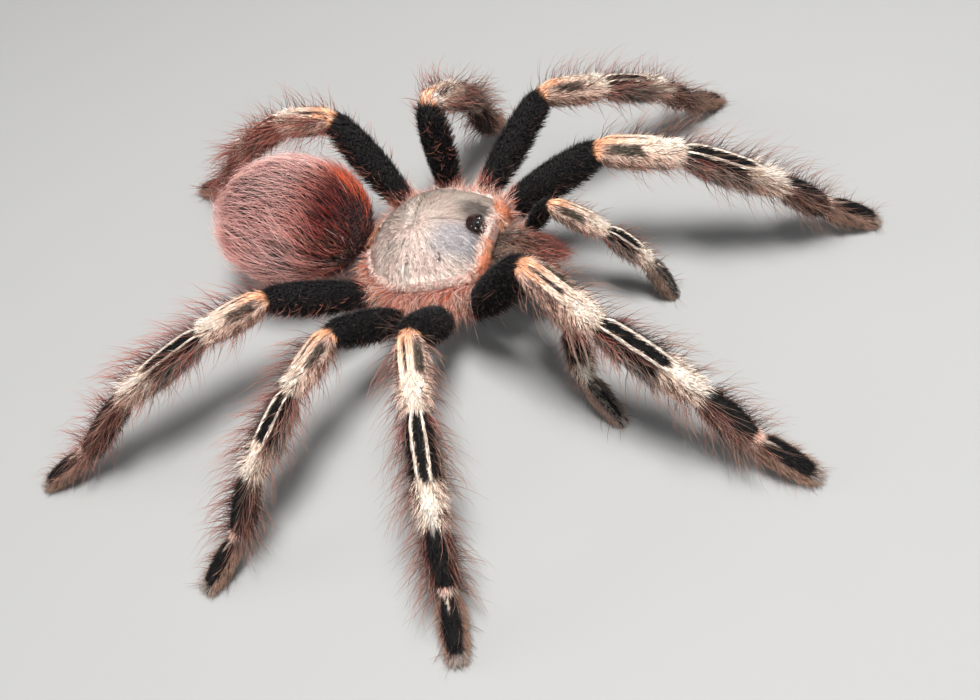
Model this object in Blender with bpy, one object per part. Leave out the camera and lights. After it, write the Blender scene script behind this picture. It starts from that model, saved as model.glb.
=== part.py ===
"""A life-size tarantula standing on all its feet, built as closed solids: one named object for each part.

Sizes are millimetres and degrees in the animal's own frame: x forward, y to its left, z up, with the floor at
z = 0 and x = y = 0 under the middle of the carapace. The empty `stance` turns that frame, so that the head
points to -Y and the animal's left side to +X, and moves the middle of the footprint to the origin.
Each solid reaches to the tips of the animal's dense coat. Neighbours keep a gap of GAP between them.
"""

import math
from dataclasses import dataclass

import bmesh
import bpy
from mathutils import Euler, Matrix, Vector

MM = 0.001
GAP = 0.3

# The front part of the body, which carries the limbs: the height and tilt of its frame.
PROSOMA_HEIGHT = 13.8
PROSOMA_PITCH = 2.0
PROSOMA_ROLL = 3.7

# The carapace stands a little higher and rises to the head: the middle of its rim, and its own pitch.
SHIELD_CENTRE = (-0.6, -0.6, 14.3)
SHIELD_PITCH = 7.6
CARAPACE_LENGTH = 20.0
CARAPACE_HALF_WIDTH = 10.0
CARAPACE_DOME = 5.4
CARAPACE_RIM = 0.5
# Share of the half width, and share of the dome's height, from the rear end (-1) to the front end (+1).
CARAPACE_OUTLINE = ((-1, 0.2), (-0.9, 0.5), (-0.7, 0.75), (-0.4, 0.95), (-0.1, 1.0), (0.2, 0.96), (0.5, 0.88),
                    (0.75, 0.80), (0.92, 0.74), (1, 0.5))
CARAPACE_PROFILE = ((-1, 0.2), (-0.8, 0.55), (-0.4, 0.85), (0, 0.98), (0.35, 1.0), (0.7, 0.92), (0.9, 0.72),
                    (1, 0.4))

TUBERCLE_CENTRE = (8.55, 0.0, 4.0)
TUBERCLE_RADII = (1.05, 1.4, 1.0)
# The eyes of one side on the tubercle: heading from straight ahead, height above level, radius.
EYES = ((22, 38, 0.36), (62, 12, 0.34), (95, 38, 0.24), (118, 8, 0.3))

CORE_CENTRE = (-1.4, 0.0, -3.9)
CORE_RADII = (8.4, 7.2, 2.9)
COXA_ROOT_SHARE = 0.3
COXA_ROOT_HEIGHT = -4.6
PEDICEL_RADIUS = 1.3
PEDICEL_HEIGHT = -2.9

ABDOMEN_CENTRE = (-23.2, -0.4, 16.5)
ABDOMEN_RADII = (13.1, 10.8, 10.1)
ABDOMEN_REAR_SWELL = 0.08
ABDOMEN_FRONT_FLAT = -11.1
SPINNERET_PATH = ((-33.7, 1.4, 9.7), (-35.9, 1.9, 9.3), (-37.9, 2.5, 9.8))
SPINNERET_RADII = (0.9, 0.75, 0.35)

CHELICERA_CENTRE = (12.9, 2.15, -2.5)
CHELICERA_RADII = (5.4, 1.95, 2.8)
CHELICERA_DROOP = 12.0
FANG_PATH = ((17.2, 1.9, -7.0), (16.2, 1.9, -8.5), (14.2, 1.8, -9.3), (12.0, 1.8, -9.1))
FANG_RADII = (0.8, 0.7, 0.5, 0.25)

# Radii at the start, the middle and the end of each segment of a leg, and of a palp.
LEG_SEGMENTS = ("femur", "patella", "tibia", "metatarsus", "tarsus")
LEG_RADII = ((2.25, 3.25, 2.5), (2.5, 2.85, 2.4), (2.4, 2.85, 2.2), (2.2, 2.55, 1.95), (1.95, 2.3, 1.5))
PALP_SEGMENTS = ("femur", "patella", "tibia", "tarsus")
PALP_RADII = ((1.4, 1.8, 1.75), (1.75, 2.2, 1.9), (1.9, 2.2, 1.7), (1.7, 2.0, 1.4))
COXA_SWELL = 0.2
TIP_ROUNDING = 0.84

CLAW_LENGTH = 1.6
CLAW_RADIUS = 0.32
CLAW_SPREAD = 0.5
# How far a sole would reach below the floor, before the floor's plane trims it to a small flat.
SOLE_FLAT = 0.18

TUBE_RINGS = 5
SHARP_BEND = 50.0
KNEE_ROUNDING = 1.05


@dataclass(frozen=True)
class Limb:
    """A leg or palp. Yaws turn from straight ahead to the limb's own side, and pitches rise from level."""

    name: str
    side: int
    hip: tuple
    lengths: tuple
    yaws: tuple
    pitches: tuple
    segments: tuple = LEG_SEGMENTS
    radii: tuple = LEG_RADII
    thickness: float = 1.0


# Hips in the tilted prosoma's frame, and lengths from the femur to the tarsus.
HIPS = {1: (8.4, 9.2, -2.6), 2: (3.6, 12.0, -2.6), 3: (-2.6, 12.7, -2.6), 4: (-9.0, 9.0, -2.6),
        "palp": (12.0, 6.2, -3.8)}
LENGTHS = {1: (18.7, 12.2, 16.3, 11.0, 9.7), 2: (18.2, 10.8, 14.4, 9.9, 9.2), 3: (17.0, 9.3, 12.5, 10.9, 8.9),
           4: (18.4, 10.0, 15.2, 15.5, 9.5), "palp": (10.0, 9.4, 8.7, 8.6)}
THICKNESS = {1: 1.0, 2: 0.92, 3: 0.88, 4: 0.93}
# The last segment has no pitch of its own: it is the one that brings the toe down to the floor.
RIGHT_POSE = {
    1: ((21.5, 21, 15.5, 9.5, 12), (52.5, -25, -28, -44.5)),
    2: ((80, 69, 70, 72, 71), (44.5, -10.5, -31.5, -55)),
    3: ((108, 113, 108, 118, 118.5), (40.5, -14.5, -25, -52)),
    4: ((132.5, 136, 139, 152, 150.5), (35, -2, -18.5, -42.5)),
    "palp": ((4, 53, 52, 31), (48, -21, -64)),
}
LEFT_POSE = {
    1: ((10.5, 8.5, 12, 29, 20.5), (35.5, -5.5, -29.5, -45)),
    2: ((46, 42.5, 50, 61, 57), (43.5, -19, -33.5, -48.5)),
    3: ((87, 86, 95, 101, 101), (87, -28, -49, -65)),
    4: ((171, 175, 171, 162, 166), (61, -10, -36, -52)),
    "palp": ((-22, 4, 0, 0.5), (55.5, -32, -45.5)),
}
SIDES = (("right", -1, RIGHT_POSE), ("left", 1, LEFT_POSE))

# Base colour and roughness of each kind of surface.
FINISHES = {
    "carapace": ((0.62, 0.54, 0.47), 0.55),
    "eyes": ((0.02, 0.015, 0.015), 0.2),
    "abdomen": ((0.22, 0.05, 0.04), 0.8),
    "underside": ((0.16, 0.07, 0.05), 0.8),
    "chelicera": ((0.17, 0.08, 0.07), 0.75),
    "fang": ((0.03, 0.01, 0.01), 0.25),
    "femur": ((0.02, 0.018, 0.018), 0.8),
    "patella": ((0.62, 0.52, 0.42), 0.75),
    "tibia": ((0.2, 0.15, 0.12), 0.8),
    "metatarsus": ((0.07, 0.055, 0.05), 0.8),
    "tarsus": ((0.09, 0.075, 0.07), 0.8),
}


def clear_scene():
    for item in list(bpy.data.objects):
        bpy.data.objects.remove(item, do_unlink=True)


def new_collection(name):
    collection = bpy.data.collections.new(name)
    bpy.context.scene.collection.children.link(collection)
    return collection


def new_material(name, colour, roughness):
    material = bpy.data.materials.new(name)
    material.use_nodes = True
    shader = material.node_tree.nodes["Principled BSDF"]
    shader.inputs["Base Color"].default_value = (*colour, 1)
    shader.inputs["Roughness"].default_value = roughness
    shader.inputs["Metallic"].default_value = 0.0
    material.diffuse_color = (*colour, 1)
    return material


def add_object(name, bm, collection, parent, finish):
    """Turns a mesh in millimetres into a smooth-shaded object in metres with its own material."""
    bmesh.ops.scale(bm, vec=Vector((MM, MM, MM)), verts=bm.verts)
    bmesh.ops.recalc_face_normals(bm, faces=bm.faces)
    mesh = bpy.data.meshes.new(name)
    bm.to_mesh(mesh)
    bm.free()
    mesh.shade_smooth()
    mesh.set_sharp_from_angle(angle=math.radians(40))
    mesh.materials.append(new_material(name, *FINISHES[finish]))
    item = bpy.data.objects.new(name, mesh)
    item.parent = parent
    collection.objects.link(item)
    return item


def hide_helper(item):
    item.hide_render = True
    item.display_type = "WIRE"


def helper_group(helpers, target, operation):
    """A collection of hidden solids that will be joined to the object named target, or cut from it."""
    group = bpy.data.collections.new(f"{target}_{operation.lower()}")
    group["target"] = target
    group["operation"] = operation
    helpers.children.link(group)
    return group


def add_booleans(helpers):
    """Gives each helper group's target its Boolean. Done last, so that no tube waits for their sums."""
    for group in helpers.children:
        modifier = bpy.data.objects[group["target"]].modifiers.new(group.name, "BOOLEAN")
        modifier.operation = group["operation"]
        modifier.operand_type = "COLLECTION"
        modifier.collection = group


def read_curve(stops, x):
    """Straight-line reading at x between (x, value) stops in rising order."""
    for (x0, value0), (x1, value1) in zip(stops, stops[1:]):
        if x <= x1:
            return value0 + (value1 - value0) * (x - x0) / (x1 - x0)
    return stops[-1][1]


def ball(segments, rings, shape):
    """A UV sphere with its poles at the front and rear, each vertex moved to shape(unit vector)."""
    bm = bmesh.new()
    lying_down = Matrix.Rotation(math.radians(90), 4, "Y")
    bmesh.ops.create_uvsphere(bm, u_segments=segments, v_segments=rings, radius=1, matrix=lying_down)
    for vertex in bm.verts:
        vertex.co = shape(vertex.co.normalized())
    return bm


def ellipsoid(centre, radii):
    """A shape for ball: an ellipsoid with the given middle and radii."""
    return lambda unit: Vector(centre) + Vector(radii) * unit


def tube(points, radii):
    """A round tube through the points, as a mesh of one closed body: a bevelled curve with filled caps."""
    curve = bpy.data.curves.new("path", "CURVE")
    curve.dimensions = "3D"
    curve.bevel_depth = 1.0
    curve.bevel_resolution = 3
    curve.use_fill_caps = True
    spline = curve.splines.new("POLY")
    spline.points.add(len(points) - 1)
    for control, point, radius in zip(spline.points, points, radii):
        control.co = (*point, 1)
        control.radius = radius
    path = bpy.data.objects.new("path", curve)
    bpy.context.scene.collection.objects.link(path)
    graph = bpy.context.evaluated_depsgraph_get()
    mesh = bpy.data.meshes.new_from_object(path.evaluated_get(graph))
    bm = bmesh.new()
    bm.from_mesh(mesh)
    bmesh.ops.remove_doubles(bm, verts=bm.verts, dist=0.001)
    bmesh.ops.recalc_face_normals(bm, faces=bm.faces)
    bpy.data.objects.remove(path)
    bpy.data.curves.remove(curve)
    bpy.data.meshes.remove(mesh)
    return bm


def trim(bm, point, outward):
    """Takes off what lies beyond the plane through point, on outward's side, and closes the cut."""
    geometry = bm.verts[:] + bm.edges[:] + bm.faces[:]
    cut = bmesh.ops.bisect_plane(bm, geom=geometry, dist=0.0001, plane_co=point, plane_no=outward,
                                 clear_outer=True)
    edges = [part for part in cut["geom_cut"] if isinstance(part, bmesh.types.BMEdge)]
    if edges:
        bmesh.ops.holes_fill(bm, edges=edges, sides=0)


def prosoma_matrix():
    """From the prosoma's frame, in millimetres, to the animal's."""
    tilt = Euler((math.radians(PROSOMA_ROLL), math.radians(-PROSOMA_PITCH), 0), "XYZ").to_matrix().to_4x4()
    return Matrix.Translation((0, 0, PROSOMA_HEIGHT)) @ tilt


def heading(yaw, pitch, side):
    """Unit vector for a yaw towards the limb's own side and a pitch above level."""
    yaw, pitch = math.radians(yaw), math.radians(pitch)
    return Vector((math.cos(pitch) * math.cos(yaw), side * math.cos(pitch) * math.sin(yaw), math.sin(pitch)))


def barrel(radii, share):
    """Radius at a share of a segment's length: the parabola through its start, middle and end radii."""
    start, middle, end = radii
    rest, slope = 1 - share, 1 - 2 * share
    return start * rest * slope + 4 * middle * share * rest - end * share * slope


def toe_radius(radii, share):
    """Radius of a limb's last segment: a barrel whose end is rounded off like an ellipse."""
    past = max(0.0, (share - TIP_ROUNDING) / (1.02 - TIP_ROUNDING))
    return barrel(radii, share) * math.sqrt(1 - past * past)


def coxa_root(limb):
    ahead, aside = limb.hip[0] * COXA_ROOT_SHARE, limb.hip[1] * COXA_ROOT_SHARE
    return Vector((ahead, limb.side * aside, COXA_ROOT_HEIGHT))


def hip_point(limb):
    return Vector((limb.hip[0], limb.side * limb.hip[1], limb.hip[2]))


def limb_joints(limb, body):
    """Joint points from the coxa's root to the toe, which is lowered until the sole meets the floor."""
    points = [body @ coxa_root(limb), body @ hip_point(limb)]
    for length, yaw, pitch in zip(limb.lengths, limb.yaws, limb.pitches):
        points.append(points[-1] + length * heading(yaw, pitch, limb.side))
    ankle, last = points[-1], limb.lengths[-1]
    radii = [radius * limb.thickness for radius in limb.radii[-1]]
    toe_height = radii[-1]
    for _ in range(6):
        pitch = math.degrees(math.asin((toe_height - ankle.z) / last))
        slope = math.cos(math.radians(pitch))
        shares = [step / 40 for step in range(41)]
        fall = toe_height - ankle.z
        sole = min(ankle.z + fall * share - slope * toe_radius(radii, share) for share in shares)
        toe_height -= sole + SOLE_FLAT
    pitch = math.degrees(math.asin((toe_height - ankle.z) / last))
    points.append(ankle + last * heading(limb.yaws[-1], pitch, limb.side))
    return points


def directions(points):
    return [(after - before).normalized() for before, after in zip(points, points[1:])]


def segment_mesh(points, index, radii, last):
    """One segment of a limb, between the mitre planes of the joints at its two ends.

    A mitre plane halves the angle between the two segments that meet there. Where the bend is sharp, the
    mitre's outer corner is taken off square to the bend.
    """
    ways = directions(points)
    start, end, way = points[index], points[index + 1], ways[index]
    length = (end - start).length
    before = 0.0 if index == 0 else radii[0] * math.tan(ways[index - 1].angle(way) / 2) + GAP
    after = 0.0 if last else radii[2] * math.tan(way.angle(ways[index + 1]) / 2) + GAP
    profile = toe_radius if last else barrel
    shares = [step / (TUBE_RINGS - 1) for step in range(TUBE_RINGS)]
    if last:
        shares = shares[:-1] + [(1 + TIP_ROUNDING) / 2, 1.0]
    path = [start + way * length * share for share in shares]
    path[0] = start - way * before
    path[-1] = end + way * after
    bm = tube(path, [profile(radii, share) for share in shares])
    bends = ((start, index, index - 1, radii[0]), (end, index, index + 1, radii[2]))
    for joint, here, there, radius in bends:
        if there < 0 or there >= len(ways):
            continue
        toward = 1 if there > here else -1
        normal = toward * (ways[here] + ways[there]).normalized()
        trim(bm, joint - normal * GAP / 2, normal)
        if math.degrees(ways[here].angle(ways[there])) > SHARP_BEND:
            outward = toward * (ways[here] - ways[there]).normalized()
            trim(bm, joint + outward * radius * KNEE_ROUNDING, outward)
    return bm


def claw_pair(limb, points):
    """Two short hooks that point forward and down out of the end of the toe, in the animal's frame."""
    way = directions(points)[-1]
    across = way.cross(Vector((0, 0, 1))).normalized()
    down = Vector((way.x, way.y, 0)).normalized() * 0.85 - Vector((0, 0, 0.45))
    bm = bmesh.new()
    for side in (-1, 1):
        root = points[-1] - way * 0.7 + across * side * CLAW_SPREAD + Vector((0, 0, 0.35))
        turn = down.normalized().to_track_quat("Z", "Y").to_matrix().to_4x4()
        place = Matrix.Translation(root + down.normalized() * CLAW_LENGTH / 2) @ turn
        bmesh.ops.create_cone(bm, cap_ends=True, segments=6, radius1=CLAW_RADIUS, radius2=CLAW_RADIUS * 0.35,
                              depth=CLAW_LENGTH, matrix=place)
    return bm


def build_limb(limb, points, parts, helpers, stance):
    """The segments beyond the hip, each its own object. The last is cut flat by the floor and gets claws."""
    for number, segment in enumerate(limb.segments):
        last = number == len(limb.segments) - 1
        radii = [radius * limb.thickness for radius in limb.radii[number]]
        bm = segment_mesh(points, number + 1, radii, last)
        if last:
            trim(bm, Vector((0, 0, 0)), Vector((0, 0, -1)))
        name = f"{limb.name}_{segment}"
        add_object(name, bm, parts, stance, segment)
        if last:
            claws = helper_group(helpers, name, "UNION")
            hide_helper(add_object(f"{name}_claw_pair", claw_pair(limb, points), claws, stance, "fang"))


def all_limbs():
    limbs = []
    for side_name, side, pose in SIDES:
        for number in (1, 2, 3, 4):
            yaws, pitches = pose[number]
            limbs.append(Limb(f"leg_{side_name}_{number}", side, HIPS[number], LENGTHS[number], yaws, pitches,
                              thickness=THICKNESS[number]))
        yaws, pitches = pose["palp"]
        limbs.append(Limb(f"palp_{side_name}", side, HIPS["palp"], LENGTHS["palp"], yaws, pitches,
                          PALP_SEGMENTS, PALP_RADII))
    return limbs


def carapace_shape(unit):
    """The carapace's surface: an outline that narrows to the head, domed above and flat below."""
    around = math.hypot(unit.y, unit.z) or 1.0
    across, up = unit.y / around, unit.z / around
    width = CARAPACE_HALF_WIDTH * read_curve(CARAPACE_OUTLINE, unit.x)
    dome = CARAPACE_DOME * read_curve(CARAPACE_PROFILE, unit.x)
    height = dome * up**0.85 if up > 0 else max(-CARAPACE_RIM, CARAPACE_RIM * 3 * up)
    if abs(unit.x) > 0.999:
        return Vector((unit.x * CARAPACE_LENGTH / 2, 0, 0))
    return Vector((unit.x * CARAPACE_LENGTH / 2, width * across, height))


def build_carapace(parts, helpers, frame):
    """The shield over the prosoma, with a socket in which the eye tubercle sits."""
    add_object("carapace", ball(24, 14, carapace_shape), parts, frame, "carapace")
    socket = ball(12, 8, ellipsoid(TUBERCLE_CENTRE, [radius + GAP for radius in TUBERCLE_RADII]))
    sockets = helper_group(helpers, "carapace", "DIFFERENCE")
    hide_helper(add_object("tubercle_socket", socket, sockets, frame, "eyes"))


def build_eye_tubercle(parts, helpers, frame):
    """The low mound near the front edge, joined with its eight round eyes."""
    add_object("eye_tubercle", ball(12, 8, ellipsoid(TUBERCLE_CENTRE, TUBERCLE_RADII)), parts, frame, "eyes")
    eyes = helper_group(helpers, "eye_tubercle", "UNION")
    for side in (-1, 1):
        for number, (yaw, pitch, radius) in enumerate(EYES):
            way = heading(yaw, pitch, side)
            seat = Vector(TUBERCLE_CENTRE) + Vector(TUBERCLE_RADII) * way * 0.97
            bm = bmesh.new()
            bmesh.ops.create_icosphere(bm, subdivisions=1, radius=radius, matrix=Matrix.Translation(seat))
            hide_helper(add_object(f"eye_ball_{side}_{number}", bm, eyes, frame, "eyes"))


def build_underside(limbs, parts, helpers, frame, stance):
    """The sternum's plate with the short first segments of all the limbs and the waist, as one body."""
    core = ball(16, 10, ellipsoid(CORE_CENTRE, CORE_RADII))
    add_object("sternum_and_coxae", core, parts, frame, "underside")
    arms = helper_group(helpers, "sternum_and_coxae", "UNION")
    for limb, points in limbs:
        radius = limb.radii[0][0] * limb.thickness
        bm = segment_mesh(points, 0, (radius, radius + COXA_SWELL, radius), False)
        hide_helper(add_object(f"{limb.name}_coxa", bm, arms, stance, "underside"))
    ends = (-CORE_RADII[0] + 2, ABDOMEN_FRONT_FLAT + GAP)
    waist = [Vector((end, 0, PEDICEL_HEIGHT)) for end in ends]
    lift = Vector((0, 0, PROSOMA_HEIGHT))
    bm = tube([point + lift for point in waist], (PEDICEL_RADIUS, PEDICEL_RADIUS))
    hide_helper(add_object("pedicel", bm, arms, stance, "underside"))


def abdomen_shape(unit):
    """An egg with its blunt end to the rear."""
    swell = 1 - ABDOMEN_REAR_SWELL * unit.x
    radii = Vector(ABDOMEN_RADII)
    out = Vector((radii.x * unit.x, radii.y * unit.y * swell, radii.z * unit.z * swell))
    return Vector(ABDOMEN_CENTRE) + out


def build_abdomen(parts, stance):
    """The egg-shaped hind body, with a small flat in front where the waist meets it."""
    bm = ball(22, 14, abdomen_shape)
    trim(bm, Vector((ABDOMEN_FRONT_FLAT, 0, 0)), Vector((1, 0, 0)))
    add_object("abdomen", bm, parts, stance, "abdomen")
    for side_name, side, _ in SIDES:
        path = [Vector((x, side * y + ABDOMEN_CENTRE[1], z)) for x, y, z in SPINNERET_PATH]
        add_object(f"spinneret_{side_name}", tube(path, SPINNERET_RADII), parts, stance, "abdomen")


def build_jaws(parts, frame):
    """The two chelicerae in front of the carapace, each with the fang that folds back under it."""
    droop = Matrix.Rotation(math.radians(CHELICERA_DROOP), 3, "Y")
    for side_name, side, _ in SIDES:
        centre = Vector(CHELICERA_CENTRE) * Vector((1, side, 1))
        bm = ball(16, 10, lambda unit: centre + droop @ (Vector(CHELICERA_RADII) * unit))
        add_object(f"chelicera_{side_name}", bm, parts, frame, "chelicera")
        path = [Vector((x, side * y, z)) for x, y, z in FANG_PATH]
        add_object(f"fang_{side_name}", tube(path, FANG_RADII), parts, frame, "fang")


def centre_footprint(stance, parts):
    """Moves the whole animal so that the middle of its box, seen from above, is at the origin."""
    bpy.context.view_layer.update()
    graph = bpy.context.evaluated_depsgraph_get()
    corners = []
    for item in [item for item in parts.objects if item.type == "MESH"]:
        evaluated = item.evaluated_get(graph)
        corners += [evaluated.matrix_world @ vertex.co for vertex in evaluated.data.vertices]
    for axis in (0, 1):
        values = [corner[axis] for corner in corners]
        stance.location[axis] -= (min(values) + max(values)) / 2


def main():
    clear_scene()
    parts = new_collection("tarantula")
    helpers = new_collection("helpers")
    stance = bpy.data.objects.new("stance", None)
    stance.rotation_euler = (0, 0, math.radians(-90))
    body = prosoma_matrix()
    frame = bpy.data.objects.new("prosoma_frame", None)
    frame.location = body.translation * MM
    frame.rotation_euler = body.to_euler()
    shield = bpy.data.objects.new("shield_frame", None)
    shield.location = Vector(SHIELD_CENTRE) * MM
    shield.rotation_euler = (0, math.radians(-SHIELD_PITCH), 0)
    frame.parent = shield.parent = stance
    for empty in (stance, frame, shield):
        parts.objects.link(empty)
    limbs = [(limb, limb_joints(limb, body)) for limb in all_limbs()]
    build_carapace(parts, helpers, shield)
    build_eye_tubercle(parts, helpers, shield)
    build_underside(limbs, parts, helpers, frame, stance)
    build_abdomen(parts, stance)
    build_jaws(parts, frame)
    for limb, points in limbs:
        build_limb(limb, points, parts, helpers, stance)
    add_booleans(helpers)
    centre_footprint(stance, parts)


main()
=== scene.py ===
"""The looks of a life-size tarantula: skin, shell plates, eyes, claws and a coat of solid tufts.

Shapes are worked out in millimetres and degrees in the animal's own frame: x forward, y to its left, z up,
the floor at z = 0, and x = y = 0 under the middle of the front body, PROSOMA. Stance.to_row turns them into
the row frame, in metres.
"""

import logging
import math
from dataclasses import dataclass, field
from enum import Enum

import bpy
import numpy as np
from mathutils import Matrix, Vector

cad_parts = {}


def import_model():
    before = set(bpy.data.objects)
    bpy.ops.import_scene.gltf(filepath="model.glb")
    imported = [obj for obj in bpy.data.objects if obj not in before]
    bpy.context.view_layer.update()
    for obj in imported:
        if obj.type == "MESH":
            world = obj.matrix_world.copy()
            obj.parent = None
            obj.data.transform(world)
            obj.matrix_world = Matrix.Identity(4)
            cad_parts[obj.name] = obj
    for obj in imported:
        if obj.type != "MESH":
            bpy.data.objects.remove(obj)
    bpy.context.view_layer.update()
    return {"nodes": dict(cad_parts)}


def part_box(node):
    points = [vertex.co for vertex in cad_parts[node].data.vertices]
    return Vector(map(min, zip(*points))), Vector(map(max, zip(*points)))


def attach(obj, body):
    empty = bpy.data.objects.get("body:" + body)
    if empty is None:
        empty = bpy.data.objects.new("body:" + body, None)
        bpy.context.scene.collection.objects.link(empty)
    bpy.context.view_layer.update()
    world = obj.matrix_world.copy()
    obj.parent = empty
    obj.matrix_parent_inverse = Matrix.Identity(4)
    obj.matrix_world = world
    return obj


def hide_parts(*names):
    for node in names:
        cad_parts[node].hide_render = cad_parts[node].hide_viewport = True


LOG = logging.getLogger("tarantula")
MM = 0.001
# Claws and limb tubes stay this far, in millimetres, above the floor.
FLOOR_GAP = 0.02
Array = np.ndarray
Item = bpy.types.Object
Material = bpy.types.Material
Rng = np.random.Generator
Pair = tuple[Array, Array]


class Segment(Enum):
    """The parts of a limb, from the body outwards."""

    COXA = "coxa"
    FEMUR = "femur"
    PATELLA = "patella"
    TIBIA = "tibia"
    METATARSUS = "metatarsus"
    TARSUS = "tarsus"


# --- small mathematics


def unit(vectors: Array) -> Array:
    """Each vector along the last axis divided by its length."""
    return vectors / np.maximum(np.linalg.norm(vectors, axis=-1, keepdims=True), 1e-9)


def level(x: Array, y: Array) -> Array:
    """Places or directions at height 0."""
    return np.stack([x, y, 0 * x], -1)


def lay(ways: Array, up: Array) -> Array:
    """The directions turned square to up, so that they lie along the surface."""
    return unit(ways - (ways * up).sum(1)[:, None] * up)


def ramp(low: float, high: float, x: Array) -> Array:
    """Smooth step of x: 0 below low, 1 above high, and 3t^2 - 2t^3 between."""
    t = np.clip((x - low) / (high - low), 0, 1)
    return t * t * (3 - 2 * t)


def band(low: float, high: float, soft: float, x: Array) -> Array:
    """Soft-edged band of x, 1 from low to high: a step up times a step down, each 2 * soft wide."""
    return ramp(low - soft, low + soft, x) * (1 - ramp(high - soft, high + soft, x))


def blend(first: Array, second: Array, share: Array) -> Array:
    """Colours between first and second: first * (1 - share) + second * share, with one share per colour."""
    share = np.asarray(share)[..., None]
    return np.asarray(first) * (1 - share) + np.asarray(second) * share


def tone(red: int, green: int, blue: int) -> Array:
    """Linear light of a display colour, 0 to 255: ((c + 0.055) / 1.055) ^ 2.4, or c / 12.92 in the darks."""
    c = np.array((red, green, blue)) / 255
    return np.where(c <= 0.04045, c / 12.92, ((c + 0.055) / 1.055) ** 2.4)


def ripple(points: Array, size: float, seed: int) -> Array:
    """Smooth noise from -1 to 1: the mean of nine sine waves whose directions and phases come from the seed.

    Args:
        points: places, in millimetres.
        size: width of a patch, in millimetres.
        seed: picks the waves.
    Returns:
        One value per place.
    """
    rng = np.random.default_rng(seed)
    waves = unit(rng.normal(size=(9, 3))) * rng.uniform(0.6, 1.5, (9, 1)) * math.pi / size
    return np.clip(np.sin(points @ waves.T + rng.uniform(0, 2 * math.pi, 9)).mean(-1) * 2.2, -1, 1)


def smooth_curve(stops: tuple, x: Array) -> Array:
    """The value at x of a curve through (x, value) stops: the mean of nine straight-line readings near x."""
    xs, values = np.array(stops, float).T
    return np.mean([np.interp(x + offset, xs, values) for offset in np.linspace(-0.09, 0.09, 9)], axis=0)


def turn_about_y(angle: float) -> Array:
    """The matrix of a turn about y by an angle in radians."""
    cosine, sine = math.cos(angle), math.sin(angle)
    return np.array([[cosine, 0, sine], [0, 1, 0], [-sine, 0, cosine]])


# --- colours


def shade(red: int, green: int, blue: int) -> Array:
    """A dataclass field whose value is that tone."""
    return field(default_factory=lambda: tone(red, green, blue))


@dataclass(frozen=True)
class Palette:
    """Every colour of the hide and the coat, as linear light."""

    black: Array = shade(15, 13, 13)
    soot: Array = shade(36, 32, 32)
    slate: Array = shade(86, 80, 78)
    ash: Array = shade(160, 148, 138)
    tan: Array = shade(178, 148, 126)
    umber: Array = shade(90, 68, 60)
    maroon: Array = shade(74, 32, 30)
    brick: Array = shade(142, 66, 52)
    orange: Array = shade(222, 108, 58)
    honey: Array = shade(234, 168, 126)
    salmon: Array = shade(216, 138, 122)
    blush: Array = shade(234, 194, 182)
    cream: Array = shade(252, 226, 206)
    white: Array = shade(255, 240, 228)
    silver: Array = shade(216, 203, 193)
    # A pale grey for the painted sheen at the front right of the carapace.
    sheen_grey: Array = shade(184, 180, 184)
    moss: Array = shade(124, 121, 102)
    rose: Array = shade(216, 150, 140)
    pearl: Array = shade(248, 210, 202)
    wine: Array = shade(158, 88, 80)
    plum: Array = shade(104, 76, 80)
    scarlet: Array = shade(190, 50, 36)
    copper: Array = shade(214, 96, 62)
    ember: Array = shade(222, 96, 58)


PAINT = Palette()


# --- meshes


class Stance:
    """Where the animal stands in the row frame: its head points to -Y and its left side to +X."""

    def __init__(self) -> None:
        """Reads the shift from the abdomen's box: its flat front is at x = -11.1, its middle at y = -0.4."""
        low, high = (np.array(corner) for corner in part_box("abdomen"))
        self.shift = np.array([(low[0] + high[0]) / 2 + 0.4 * MM, low[1] - 11.1 * MM, 0.0])

    def to_row(self, points: Array) -> Array:
        """Row place of a place in the animal's frame: (y, -x, z) in metres plus the shift."""
        return self.turn(points) * MM + self.shift

    @staticmethod
    def turn(vectors: Array) -> Array:
        """The same turn for directions, which have no place: (y, -x, z)."""
        return np.stack([vectors[..., 1], -vectors[..., 0], vectors[..., 2]], -1)


def new_object(name: str, points: Array, faces: Array, material: Material | None = None) -> Item:
    """Puts whole arrays into a smooth-shaded mesh object.

    Args:
        name: the object's name.
        points: (n, 3) places in the row frame, in metres.
        faces: (m, 3) or (m, 4) rows of vertex numbers.
        material: its finish, if it has one yet.
    Returns:
        The object, linked to the scene.
    """
    corners = faces.shape[1]
    mesh = bpy.data.meshes.new(name)
    mesh.vertices.add(len(points))
    mesh.vertices.foreach_set("co", np.ascontiguousarray(points, np.float32).ravel())
    mesh.loops.add(faces.size)
    mesh.loops.foreach_set("vertex_index", np.ascontiguousarray(faces, np.int32).ravel())
    mesh.polygons.add(len(faces))
    mesh.polygons.foreach_set("loop_start", np.arange(0, faces.size, corners, dtype=np.int32))
    mesh.polygons.foreach_set("use_smooth", np.ones(len(faces), bool))
    mesh.update(calc_edges=True)
    if material is not None:
        mesh.materials.append(material)
    item = bpy.data.objects.new(name, mesh)
    bpy.context.scene.collection.objects.link(item)
    return item


def add_colour(item: Item, colours: Array) -> None:
    """Stores one colour per vertex in the attribute Hue, which the finishes read.

    Args:
        item: the mesh object.
        colours: (n, 3) linear colours.
    """
    layer = item.data.color_attributes.new("Hue", "FLOAT_COLOR", "POINT")
    values = np.concatenate([np.clip(colours, 0, 1), np.ones((len(colours), 1))], axis=1)
    layer.data.foreach_set("color", values.astype(np.float32).ravel())


def add_unwrap(item: Item, places: Array) -> None:
    """Stores one unwrap place per vertex in the UV map OFBake.

    Args:
        item: the mesh object.
        places: (n, 2) places in the unit square.
    """
    corners = np.empty(len(item.data.loops), np.int32)
    item.data.loops.foreach_get("vertex_index", corners)
    layer = item.data.uv_layers.new(name="OFBake")
    layer.data.foreach_set("uv", places[corners].astype(np.float32).ravel())


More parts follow.
